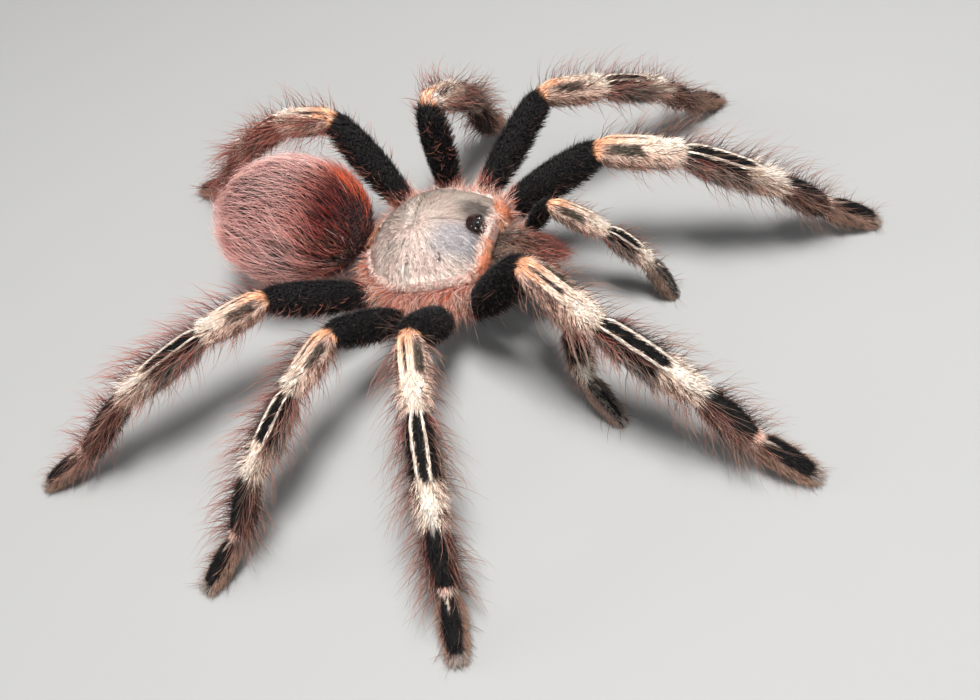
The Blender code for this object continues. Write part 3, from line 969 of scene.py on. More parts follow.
def side_hair() -> tuple[Fringe, ...]:
    """The hair of medium length on the sides of a leg."""
    both, rear = Side.BOTH, Side.REAR
    coxa, femur, patella, tibia, metatarsus, tarsus = Segment
    return (
        Fringe(coxa, both, 420, (0.4, 1.0), (0.0, 2.2), (1.8, 3.6), (25, 60),
               PAINT.brick, PAINT.salmon, PAINT.cream, 0.1, 0.6, 0.1, 3, 0.1),
        Fringe(femur, both, 110, (0.0, 0.14), (0.0, 2.4), (1.6, 3.0), (30, 60),
               PAINT.maroon, PAINT.brick, PAINT.salmon, 0.1, 0.5, 0.1, 3, 0.0),
        Fringe(femur, both, 170, (0.05, 1.0), (1.0, 2.6), (1.6, 3.0), (35, 65),
               PAINT.black, PAINT.soot, PAINT.umber, 0.085, 0.4, 0.1, 3, 0.2),
        Fringe(patella, both, 380, (0.08, 1.0), (1.05, 2.9), (1.5, 2.7), (34, 64),
               PAINT.tan, PAINT.salmon, PAINT.cream, 0.1, 0.45, 0.05, 3, 0.3),
        Fringe(patella, both, 90, (0.3, 1.0), (1.5, 3.0), (2.6, 4.4), (45, 75),
               PAINT.maroon, PAINT.brick, PAINT.salmon, 0.095, 0.45, 0.15, 3, 0.0),
        Fringe(patella, both, 190, (0.8, 0.96), (0.0, 2.4), (1.0, 1.7), (24, 50),
               PAINT.cream, PAINT.cream, PAINT.white, 0.1, 0.3, 0.0, 3, 0.6),
        Fringe(tibia, both, 620, (0.0, 0.7), (1.15, 2.9), (2.0, 3.9), (34, 64),
               PAINT.black, PAINT.slate, PAINT.ash, 0.1, 0.45, 0.1, 3, 0.3),
        Fringe(tibia, both, 150, (0.0, 0.7), (1.0, 2.9), (2.4, 4.4), (36, 68),
               PAINT.soot, PAINT.slate, PAINT.blush, 0.09, 0.45, 0.1, 3, 0.0),
        Fringe(tibia, both, 90, (0.0, 0.18), (0.9, 2.9), (2.8, 5.2), (45, 78),
               PAINT.maroon, PAINT.brick * 0.8, PAINT.salmon, 0.085, 0.7, 0.15, 3, 0.0),
        Fringe(tibia, both, 420, (0.58, 1.0), (0.6, 2.8), (1.6, 3.2), (28, 58),
               PAINT.tan, PAINT.cream, PAINT.white, 0.1, 0.35, 0.05, 3, 0.4),
        Fringe(tibia, both, 190, (0.8, 0.96), (0.0, 2.6), (1.0, 1.8), (28, 56),
               PAINT.cream, PAINT.cream, PAINT.white, 0.1, 0.3, 0.0, 3, 0.5),
        Fringe(metatarsus, both, 460, (0.0, 0.93), (0.9, 2.9), (1.8, 3.5), (34, 66),
               PAINT.black, PAINT.soot, PAINT.slate, 0.1, 0.4, 0.05, 3, 0.3),
        Fringe(metatarsus, rear, 110, (0.0, 0.9), (0.9, 2.6), (2.0, 3.8), (34, 66),
               PAINT.maroon, PAINT.brick, PAINT.blush, 0.09, 0.4, 0.05, 3, 0.0),
        Fringe(metatarsus, both, 280, (0.05, 0.95), (1.2, 2.2), (1.0, 1.8), (26, 46),
               PAINT.brick, PAINT.honey * 0.6, PAINT.honey, 0.09, 0.3, 0.0, 3, 0.0),
        Fringe(metatarsus, both, 120, (0.84, 1.0), (0.0, 2.8), (1.1, 1.9), (22, 48),
               PAINT.salmon, PAINT.cream, PAINT.white, 0.1, 0.3, 0.0, 3, 0.4),
        Fringe(tarsus, both, 620, (0.0, 1.0), (0.95, 2.2), (1.1, 2.1), (40, 66),
               PAINT.umber, PAINT.honey * 0.45, PAINT.tan, 0.085, 0.4, 0.02, 3, 0.15),
        Fringe(tarsus, both, 120, (0.82, 1.0), (0.0, 1.9), (1.0, 1.7), (20, 50),
               PAINT.slate, PAINT.ash, PAINT.silver, 0.09, 0.3, 0.0, 3, 0.3),
    )


@dataclass(frozen=True)
class Bristles:
    """The long single setae of a limb, which stand out and curve towards its end."""

    counts: tuple = ((Segment.FEMUR, 26), (Segment.PATELLA, 120), (Segment.TIBIA, 240),
                     (Segment.METATARSUS, 180), (Segment.TARSUS, 40))
    length: tuple = (4.4, 8.6)
    lift: tuple = (52, 84)
    width: float = 0.09


# How rusty the long hair of each limb is, and how much of it there is.
RUST = {"1": 0.2, "2": 0.3, "3": 0.5, "4": 0.75, "palp": 0.15}
FULLNESS = {"1": 1.0, "2": 1.05, "3": 1.2, "4": 1.5, "palp": 0.5}


@dataclass(frozen=True)
class Stripe:
    """A line of cream hair along a segment, at an angle round it that may close in towards the far end."""

    segment: Segment
    phi: float
    closing: float
    share: tuple
    count: int


STRIPES = (
    Stripe(Segment.PATELLA, -0.50, 0.0, (0.05, 0.62), 70),
    Stripe(Segment.PATELLA, -0.68, 0.0, (0.05, 0.62), 70),
    Stripe(Segment.PATELLA, -0.04, 0.0, (0.04, 0.66), 80),
    Stripe(Segment.PATELLA, 0.12, 0.0, (0.04, 0.66), 80),
    Stripe(Segment.PATELLA, 0.27, 0.0, (0.04, 0.66), 70),
    Stripe(Segment.TIBIA, 0.52, -0.08, (0.02, 0.66), 170),
    Stripe(Segment.TIBIA, -0.52, 0.08, (0.02, 0.66), 170),
)


# The short coat's roots and tips stay this far, in millimetres, from the toe's end.
TOE_MARGIN = 0.3


class LimbCoat:
    """Builds the coat of one limb: its pile, stripes, fringes and bristles."""

    def __init__(self, form: LimbForm, seed: int) -> None:
        """Keeps the limb's form and starts its random draws.

        Args:
            form: the skin's form.
            seed: start of the random draws.
        """
        self.form = form
        self.coat = Coat(f"coat_{form.limb.name}", seed)
        self.rng = self.coat.rng
        self.segments = (Segment.COXA, *form.limb.segments)
        self.small = form.limb.key == "palp"

    def build(self, stance: Stance, material: Material) -> Item:
        """Grows all the hair of the limb.

        Args:
            stance: turns places into the row frame.
            material: the coat's finish.
        Returns:
            The piece.
        """
        for segment in self.segments:
            self._pile(segment)
        for stripe in STRIPES:
            self._stripe(stripe)
        for fringe in (*fuzz(), *side_hair()):
            if fringe.segment in self.segments:
                self._fringe(fringe)
        bristles = Bristles()
        for segment, count in bristles.counts:
            if segment in self.segments:
                self._bristles(bristles, segment, count)
        return self.coat.build(stance, material, "tibia")

    def _stretch(self, segment: Segment) -> tuple[float, float]:
        """Where a segment starts along the limb, and its length."""
        number = self.segments.index(segment)
        start = float(self.form.stops[number])
        return start, float(self.form.stops[number + 1]) - start

    def _pile(self, segment: Segment) -> None:
        """Short coat on the top and sides, and half as dense with thicker hairs below.

        Args:
            segment: which segment.
        """
        pile = PILES[segment]
        self._pile_zone(segment, pile.density, 0.0, 1.75, pile.width, 1.0)
        self._pile_zone(segment, pile.density * 0.36, 1.7, math.pi, pile.width * 1.6, 1.5)

    def _pile_zone(self, segment: Segment, density: float, low: float, high: float, width: float,
                   grown: float) -> None:
        """Roots spread evenly over a zone, straight hairs laid along the limb.

        Args:
            segment: which segment.
            density: hairs for each square millimetre.
            low: angle from the top where the zone starts, on both sides.
            high: angle where it ends.
            width: width of a hair.
            grown: length as a share of the segment's own.
        """
        form, rng, pile = self.form, self.rng, PILES[segment]
        start, span = self._stretch(segment)
        if segment is Segment.COXA:
            start, span = start + 0.4 * span, 0.6 * span
        area = span * 2 * (high - low) * float(form.read(form.radius, np.array(start + span / 2)))
        count = int(area * density)
        s = start + span * (np.arange(count) + rng.random(count)) / count
        phi = rng.uniform(low, high, count) * rng.choice((-1, 1), count)
        round_ = np.abs(phi)
        share = form.locate(s)[1]
        length = pile.length * grown * rng.uniform(0.75, 1.25, count) * (0.7 + 0.3 * ramp(0.0, 0.15, share))
        lift = np.radians(pile.lift + 12 * ramp(0.9, 1.8, round_) + rng.normal(0, 4, count))
        tidy = 1 if segment is Segment.FEMUR else ramp(0.7, 1.4, round_)
        swing = np.radians(rng.normal(0, 1, count) * (3 + 9 * tidy))
        swing = swing + 0.2 * ramp(0.8, 1.8, round_) * np.sign(phi)
        run = length * np.cos(lift)
        radius = form.read(form.radius, s)
        end_s = s + run * np.cos(swing)
        toe = form.length - TOE_MARGIN
        over = np.maximum(end_s - toe, 0)
        root = form.place(np.minimum(s, toe), phi, -0.05)
        tip = form.place(np.minimum(end_s, toe), phi + run * np.sin(swing) / (radius + 0.3),
                         length * np.sin(lift)) + over[:, None] * form.along[-1]
        colour = self._own_marks(segment, share, phi, Markings.colour(segment, share, phi, root))
        colour = self.coat.jitter(colour, 0.15)
        self.coat.add(Tufts(np.stack([root, tip], 1), form.out(s, phi), width * rng.uniform(0.8, 1.25, count),
                            colour * 0.9, np.clip(colour * 1.12 + 0.004, 0, 1), form.unwrap(s, phi)))

    def _own_marks(self, segment: Segment, share: Array, phi: Array, colour: Array) -> Array:
        """Marks of single limbs: grey toes on the palps, and a painted highlight, white on the front of the
        left third leg's patella.

        Args:
            segment: which segment.
            share: places along it.
            phi: places round it.
            colour: the colours that all limbs share.
        Returns:
            The changed colours.
        """
        if self.small and segment is Segment.TARSUS:
            return blend(colour, PAINT.ash, 0.45 * ramp(0.10, 0.25, np.abs(phi)))
        # Painted highlight: white over the first half of the left third leg's patella, on its top and front
        # side.
        if self.form.limb.name == "leg_left_3" and segment is Segment.PATELLA:
            return blend(colour, PAINT.white, 0.85 * (1 - ramp(0.5, 0.7, share)) * ramp(-0.4, 0.0, phi))
        return colour

    def _stripe(self, stripe: Stripe) -> None:
        """A row of cream hairs laid along a line, just over the pile.

        Args:
            stripe: where it runs.
        """
        form, rng = self.form, self.rng
        start, span = self._stretch(stripe.segment)
        count = int(stripe.count * span / 11)
        share = np.linspace(*stripe.share, count) + rng.normal(0, 0.01, count)
        s = start + share * span
        phi = stripe.phi + stripe.closing * share + rng.normal(0, 0.035, count)
        t = np.linspace(0, 1, 3)[None, :]
        length = rng.uniform(1.1, 1.7, count)[:, None] * t
        spine = form.place(s[:, None] + length, phi[:, None] + 0 * t, 0.12 + 0.30 * t)
        warm = blend(PAINT.honey, PAINT.cream, ramp(0.05, 0.5, share + 0.2 * rng.random(count)))
        if stripe.segment is Segment.PATELLA:
            colour = warm
        else:
            colour = blend(PAINT.cream, PAINT.white, rng.random(count))
        colour = self.coat.jitter(colour, 0.06)
        self.coat.add(Tufts(spine, form.out(s, phi), 0.14 * rng.uniform(0.8, 1.2, count), colour * 0.9,
                            colour, form.unwrap(s, phi)))

    def _fringe(self, fringe: Fringe) -> None:
        """Hair of one stretch, its colour mixed with the markings below it.

        Args:
            fringe: what it is like.
        """
        form, rng = self.form, self.rng
        start, span = self._stretch(fringe.segment)
        count = int(fringe.count * (0.5 if self.small else 1.0))
        share = rng.uniform(*fringe.share, count)
        s = start + share * span
        turn = rng.choice((-1, 1), count) if fringe.side is Side.BOTH else fringe.side.value
        phi = rng.uniform(*fringe.phi, count) * turn
        length = rng.uniform(*fringe.length, count) * (0.75 if self.small else 1.0)
        length = length * (1 - 0.3 * ramp(1.4, 2.2, np.abs(phi)))
        up = form.out(s, phi)
        sideways = form.out(s, phi + math.pi / 2)
        root = form.place(s, phi, -0.05)
        drift = rng.normal(0, 0.28, count) + 0.14 * ripple(root, 3.0, 17)
        lie = unit(form.read(form.along, s) + sideways * drift[:, None])
        habit = Habit(rng.uniform(*fringe.lift, count), fringe.curl, 60.0,
                      fringe.sag * rng.uniform(-0.6, 1, count), rng.normal(0, 0.12, count),
                      fringe.stations)
        spine = under_top(grow(root, lie, up, length, habit))
        mark = Markings.colour(fringe.segment, share, phi, root)
        rust = 0.6 * RUST[form.limb.key] * (1 - ramp(-0.6, 0.6, phi)) * (1 - fringe.marked)
        pale = rng.random(count) ** 2.5
        middle = blend(blend(fringe.middle, PAINT.brick, rust), fringe.tip, 0.6 * pale)
        keep = np.full(count, fringe.marked)
        width = fringe.width * rng.uniform(0.75, 1.25, count)
        self.coat.add(Tufts(spine, up, width, self.coat.jitter(blend(fringe.root, mark, keep), 0.2),
                            self.coat.jitter(blend(np.tile(fringe.tip, (count, 1)), mark, keep * 0.6), 0.14),
                            form.unwrap(s, phi), self.coat.jitter(blend(middle, mark, keep), 0.15),
                            taper=1.3))

    def _bristles(self, bristles: Bristles, segment: Segment, count: int) -> None:
        """Single long setae, denser towards the segment's far end and longer on the rear side.

        Args:
            bristles: their sizes.
            segment: where they grow.
            count: how many.
        """
        form, rng, key = self.form, self.rng, self.form.limb.key
        start, span = self._stretch(segment)
        shaggy = segment is Segment.FEMUR and (key == "4" or form.limb.name == "leg_left_3")
        count = int(count * FULLNESS[key] * (3 if shaggy else 1))
        share = rng.uniform(0, 1, count) ** 0.85
        s = start + share * span
        rear = rng.random(count) < 0.5 + 0.15 * RUST[key]
        low = 1.0 if segment is Segment.FEMUR else 0.62
        phi = (low + (2.3 - low) * rng.random(count) ** 1.4) * np.where(rear, -1, 1)
        limit = 0.5 if segment is Segment.TARSUS or self.small else 0.6 if segment is Segment.FEMUR else 1.0
        length = rng.uniform(*bristles.length, count) * limit * np.where(rear, 1.0, 0.9)
        up = form.out(s, phi)
        sideways = form.out(s, phi + math.pi / 2)
        root = form.place(s, phi, -0.1)
        drift = rng.normal(0, 0.35, count) + 0.15 * ripple(root, 4.0, 19)
        lie = unit(form.read(form.along, s) + sideways * drift[:, None])
        habit = Habit(rng.uniform(*bristles.lift, count), rng.uniform(0.3, 0.9, count), 200.0,
                      rng.uniform(-0.08, 0.12, count), rng.normal(0, 0.12, count), 4)
        spine = under_top(grow(root, lie, up, length, habit))
        rust = np.clip(np.where(rear, RUST[key], RUST[key] * 0.5) + rng.normal(0, 0.2, count), 0, 1)
        if segment is Segment.FEMUR:
            rust = np.clip((0.6 if shaggy else 0.1) + rng.normal(0, 0.2, count), 0, 1)
        middle = self.coat.jitter(blend(PAINT.umber * 1.2, PAINT.brick * 1.15, rust), 0.2)
        tip = self.coat.jitter(blend(PAINT.tan, PAINT.salmon, rust), 0.12)
        tip = blend(tip, PAINT.umber, 0.8 if segment is Segment.FEMUR and not shaggy else 0.0)
        root_hue = self.coat.jitter(blend(PAINT.soot, PAINT.maroon, rust), 0.2)
        width = bristles.width * rng.uniform(0.8, 1.25, count)
        self.coat.add(Tufts(spine, up, width, root_hue, tip, form.unwrap(s, phi), middle, 0.8, 1.2))


# --- the abdomen


@dataclass(frozen=True)
class Abdomen:
    """The hind body: an egg with its blunt end to the rear, and the two spinnerets behind it."""

    centre: tuple = (-23.2, -0.4, 16.5)
    radii: tuple = (13.1, 10.8, 10.1)
    swell: float = 0.08
    depth: float = 1.25
    spinneret_path: tuple = ((-33.7, 1.4, 9.7), (-35.9, 1.9, 9.3), (-37.9, 2.5, 9.8))
    spinneret_radii: tuple = (0.8, 0.65, 0.3)
    # Where the coat flows from and to, as places on a ball: the waist and the spinnerets.
    source: tuple = (0.78, -0.12, -0.62)
    sink: tuple = (-0.95, 0.0, -0.3)
    velvet: int = 9500
    strands: int = 5900

    def skin(self) -> Pair:
        """The egg less the coat's depth."""
        return egg(np.array(self.centre), np.array(self.radii) - self.depth, swell=self.swell)

    def _spinneret_line(self, side: int, t: Array) -> tuple[Array, Array, Array]:
        """Places and radii at shares t of a spinneret's length, and the way from its root to its tip."""
        path = np.array(self.spinneret_path) * (1, side, 1) + (0, self.centre[1], 0)
        line = np.stack([np.interp(t, (0, 0.5, 1), path[:, axis]) for axis in range(3)], -1)
        return line, np.interp(t, (0, 0.5, 1), self.spinneret_radii), unit(path[2] - path[0])

    def spinneret(self, side: int) -> Pair:
        """A tapering finger: rings round the path, closed at both ends.

        Args:
            side: 1 on the left, -1 on the right.
        Returns:
            Points and faces as shell gives them.
        """
        t = np.linspace(0, 1, 14)
        line, radius, _ = self._spinneret_line(side, t)
        radius = radius * np.sqrt(1 - np.clip((t - 0.85) / 0.16, 0, 1) ** 2)
        way = unit(np.gradient(line, axis=0))
        top = unit(np.array([0, 0, 1.0]) - way[:, 2:] * way)
        across = np.cross(way, top)
        rings = sweep(line, radius, top, across, 14)
        return shell(rings, line[0], line[-1])

    def at(self, ways: Array, height: Array | float = 0.0) -> Pair:
        """Place and outward direction on the skin for unit vectors from the middle.

        Args:
            ways: (n, 3) unit vectors.
            height: distance above the skin.
        Returns:
            Places, and normals: the unit vector divided by the radii, made length one.
        """
        radii = np.array(self.radii) - self.depth
        wide = np.stack([np.ones(len(ways)), 1 - self.swell * ways[:, 0], 1 - self.swell * ways[:, 0]], -1)
        normal = unit(ways / (radii * wide))
        place = np.array(self.centre) + ways * radii * wide
        return place + normal * np.asarray(height)[..., None], normal

    @staticmethod
    def spread(rng: Rng, count: int) -> Array:
        """Unit vectors spread evenly over a sphere: x is even from -1 to 1 and the turn is even.

        Args:
            rng: random draws.
            count: how many.
        Returns:
            (n, 3) unit vectors.
        """
        x = 1 - 2 * (np.arange(count) + rng.random(count)) / count
        turn = rng.uniform(0, 2 * math.pi, count)
        wide = np.sqrt(1 - x**2)
        return np.stack([x, wide * np.cos(turn), wide * np.sin(turn)], -1)

    def lie(self, ways: Array, normal: Array) -> Pair:
        """Direction in which the coat lies: away from the waist, and at the rear down to the spinnerets.

        Args:
            ways: unit vectors from the middle.
            normal: outward directions.
        Returns:
            The flow with its part along the normal taken out, made length one, and that part's length before.
        """
        away = unit(ways - np.array(self.source))
        flow = unit(away + 0.6 * ramp(-0.3, 0.6, -ways[:, :1]) * (np.array(self.sink) - ways))
        flat = flow - (flow * normal).sum(1)[:, None] * normal
        return unit(flat), np.linalg.norm(flat, axis=1)

    @staticmethod
    def unwrap(ways: Array) -> Array:
        """Place on the egg's unwrap: the angle from the front pole runs to the right, the turn upwards."""
        polar = np.arccos(np.clip(ways[:, 0], -1, 1)) / math.pi
        turn = np.mod(np.arctan2(ways[:, 1], ways[:, 2]) / (2 * math.pi) + 0.5, 1)
        return np.stack([0.01 + 0.98 * polar, 0.01 + 0.98 * turn], -1)

    @staticmethod
    def ground(ways: Array, spots: Array) -> Array:
        """Colour of skin and velvet: slate, with a red-black patch in front, ash low at the front's sides,
        and a black and maroon front pole that is partly painted shade.

        Args:
            ways: unit vectors from the middle.
            spots: places, for the mottling.
        Returns:
            (n, 3) colours.
        """
        patch = ripple(spots, 4.5, 21)
        base = blend(PAINT.soot, PAINT.slate, np.clip(0.55 + 0.4 * patch, 0, 1))
        front = band(0.42, 0.86, 0.12, ways[:, 0] + 0.06 * patch) * ramp(-0.6, -0.1, ways[:, 2])
        base = blend(base, PAINT.maroon * 0.4, front)
        low_front = ramp(0.45, 0.75, ways[:, 0]) * (1 - ramp(-0.3, 0.1, ways[:, 2]))
        base = blend(base, PAINT.slate, low_front)
        # Painted shade mixed with the front's own dark colour: the front pole, which faces the waist under
        # the carapace, goes black and maroon.
        speck = np.clip(0.5 + 0.5 * ripple(spots, 0.9, 22), 0, 1)
        return blend(base, blend(PAINT.black, PAINT.maroon, speck), 0.8 * ramp(0.74, 0.92, ways[:, 0]))

    def build(self, stance: Stance, material: Material) -> list[Item]:
        """Grows the velvet, and over it the long swept strands.

        Args:
            stance: turns places into the row frame.
            material: the coat's finish.
        Returns:
            The two pieces.
        """
        return [self._velvet().build(stance, material, "abdomen"),
                self._long().build(stance, material, "abdomen")]

    def _velvet(self) -> Coat:
        """Short dark tufts over the whole egg, and on the spinnerets."""
        coat = Coat("coat_abdomen_velvet", 41)
        rng = coat.rng
        ways = self.spread(rng, self.velvet)
        root, normal = self.at(ways, np.full(len(ways), -0.05))
        lie, share = self.lie(ways, normal)
        length = rng.uniform(1.1, 2.0, len(ways)) * (1 - 0.35 * ramp(0.85, 0.98, ways[:, 0]))
        habit = Habit(26 + 40 * (1 - share) ** 2, 0.0, 60.0, stations=2)
        lie = unit(lie + np.cross(normal, lie)
                   * (rng.normal(0, 1, len(ways)) * (0.15 + 1.4 * ramp(0.8, 0.9, ways[:, 0])))[:, None])
        spine = grow(root, lie, normal, length, habit)
        colour = coat.jitter(self.ground(ways, root), 0.25)
        width = 0.17 * rng.uniform(0.8, 1.2, len(ways))
        coat.add(Tufts(spine, normal, width, colour * 0.6, np.clip(colour * 1.3, 0, 1), self.unwrap(ways)))
        for side in (-1, 1):
            self._spinneret_hair(coat, side)
        return coat

    def _spinneret_hair(self, coat: Coat, side: int) -> None:
        """Short tan hair along one spinneret.

        Args:
            coat: the coat that takes it.
            side: 1 on the left, -1 on the right.
        """
        rng = coat.rng
        count = 420
        line, radius, way = self._spinneret_line(side, rng.uniform(0, 1, count))
        out = unit(np.cross(np.tile(way, (count, 1)), unit(rng.normal(size=(count, 3)))))
        spine = grow(line + out * radius[:, None] * 0.9, np.tile(way, (count, 1)), out,
                     rng.uniform(0.7, 1.3, count), Habit(rng.uniform(20, 45, count)))
        colour = coat.jitter(blend(PAINT.umber, PAINT.tan, rng.random(count)), 0.15)
        place = self.unwrap(np.tile([[-0.99, 0.1 * side, -0.1]], (count, 1)))
        coat.add(Tufts(spine, out, np.full(count, 0.10), colour * 0.7, colour, place))

    def _long(self) -> Coat:
        """Long separate strands that rise and curl back: black-red and orange in front, pink behind."""
        coat = Coat("coat_abdomen_long", 42)
        rng = coat.rng
        ways = self.spread(rng, self.strands)
        ways = ways[rng.random(len(ways)) > 0.8 * ramp(0.84, 0.94, ways[:, 0])]
        count = len(ways)
        root, normal = self.at(ways, np.full(count, -0.1))
        lie, share = self.lie(ways, normal)
        across = np.cross(normal, lie)
        clump = ripple(root, 1.3, 30)
        drift = 0.24 * ripple(root, 7.0, 31) + 0.16 * clump + rng.normal(0, 0.22, count)
        lie = unit(lie + across * drift[:, None])
        turn = np.arctan2(ways[:, 1], ways[:, 2])
        near = ramp(0.9, 1.9, -turn) * ramp(0.5, -0.2, ways[:, 0])
        length = rng.uniform(3.6, 6.0, count) * (1 - 0.45 * ramp(0.6, 0.95, ways[:, 0])) * (1 + 0.3 * near)
        lift = rng.uniform(22, 40, count) + 6 * clump + 30 * (1 - share) ** 2 + 8 * near
        stray = rng.random(count) < 0.08
        lift = lift + stray * rng.uniform(12, 34, count)
        length = length * (1 + 0.25 * stray)
        habit = Habit(lift, rng.uniform(0.25, 0.75, count), 12.5, 0.03, rng.normal(0, 0.09, count), 5)
        spine = grow(root, lie, normal, length, habit)
        hues = self._strand_colours(rng, ways, root, turn)
        width = 0.10 * rng.uniform(0.7, 1.35, count)
        coat.add(Tufts(spine, normal, width, coat.jitter(hues[0], 0.2), coat.jitter(hues[2], 0.15),
                       self.unwrap(ways), coat.jitter(hues[1], 0.22), taper=1.4))
        return coat

    @staticmethod
    def _strand_colours(rng: Rng, ways: Array, root: Array, turn: Array) -> tuple[Array, Array, Array]:
        """Colours of the long strands.

        Args:
            rng: random draws.
            ways: unit vectors from the middle.
            root: places.
            turn: angle round the long axis from the top, positive on the left.
        Returns:
            Root, middle and tip colours.
        """
        draw, patch = rng.random(len(ways)), ripple(root, 5.0, 33)
        streak = ripple(root * (0.35, 1, 1), 1.1, 34)
        rose, pale, wine, ember = PAINT.rose, PAINT.pearl, PAINT.wine, PAINT.ember
        # Painted sheen: tips and middles made paler on top of the abdomen's middle.
        top = band(-0.55, 0.5, 0.2, ways[:, 0]) * band(-0.5, 1.5, 0.4, turn)
        tip = blend(rose, pale, np.clip(0.5 + 0.7 * (draw - 0.5) + 0.3 * patch + 0.7 * top, 0, 1))
        middle = blend(wine, rose, np.clip(0.6 + 0.8 * (draw - 0.5) + 0.4 * streak + 0.7 * top, 0, 1))
        base = blend(PAINT.umber * 0.5, PAINT.plum, np.clip(0.3 + 0.4 * patch, 0, 1))
        x = ways[:, 0] + 0.04 * patch - 0.10 - 0.10 * ramp(-0.5, 1.0, turn)
        front = band(0.50, 1.2, 0.09, x) * ramp(-0.95, -0.6, ways[:, 2])
        flame = band(0.33, 0.56, 0.07, x + 0.10 * streak)
        red = blend(PAINT.black, PAINT.scarlet, np.clip(0.35 + 0.9 * (draw - 0.5) + 0.6 * streak, 0, 1))
        tip = blend(tip, red, 0.85 * front)
        middle = blend(middle, red * 0.8, front)
        base = blend(base, PAINT.black, front)
        vivid = blend(PAINT.brick, PAINT.copper, np.clip(0.5 + 0.6 * streak, 0, 1))
        tip = blend(tip, vivid, 0.4 * flame * (1 - front))
        middle = blend(middle, vivid, 0.7 * flame * (1 - front))
        glow = ramp(0.36, 0.56, x) * band(0.42, 1.7, 0.25, turn) * 0.95
        low = ramp(0.35, 0.7, x) * ramp(1.0, 1.5, -turn)
        tip = blend(blend(tip, ember * 1.05, glow), blend(PAINT.tan, PAINT.salmon, draw), 0.6 * low)
        middle = blend(middle, blend(PAINT.brick, ember, draw), glow)
        whisker = ramp(0.975, 0.98, draw)
        tip, middle = blend(tip, pale, whisker), blend(middle, rose, whisker)
        return blend(base, PAINT.brick, 0.8 * glow), middle, tip


ABDOMEN = Abdomen()


# --- the carapace


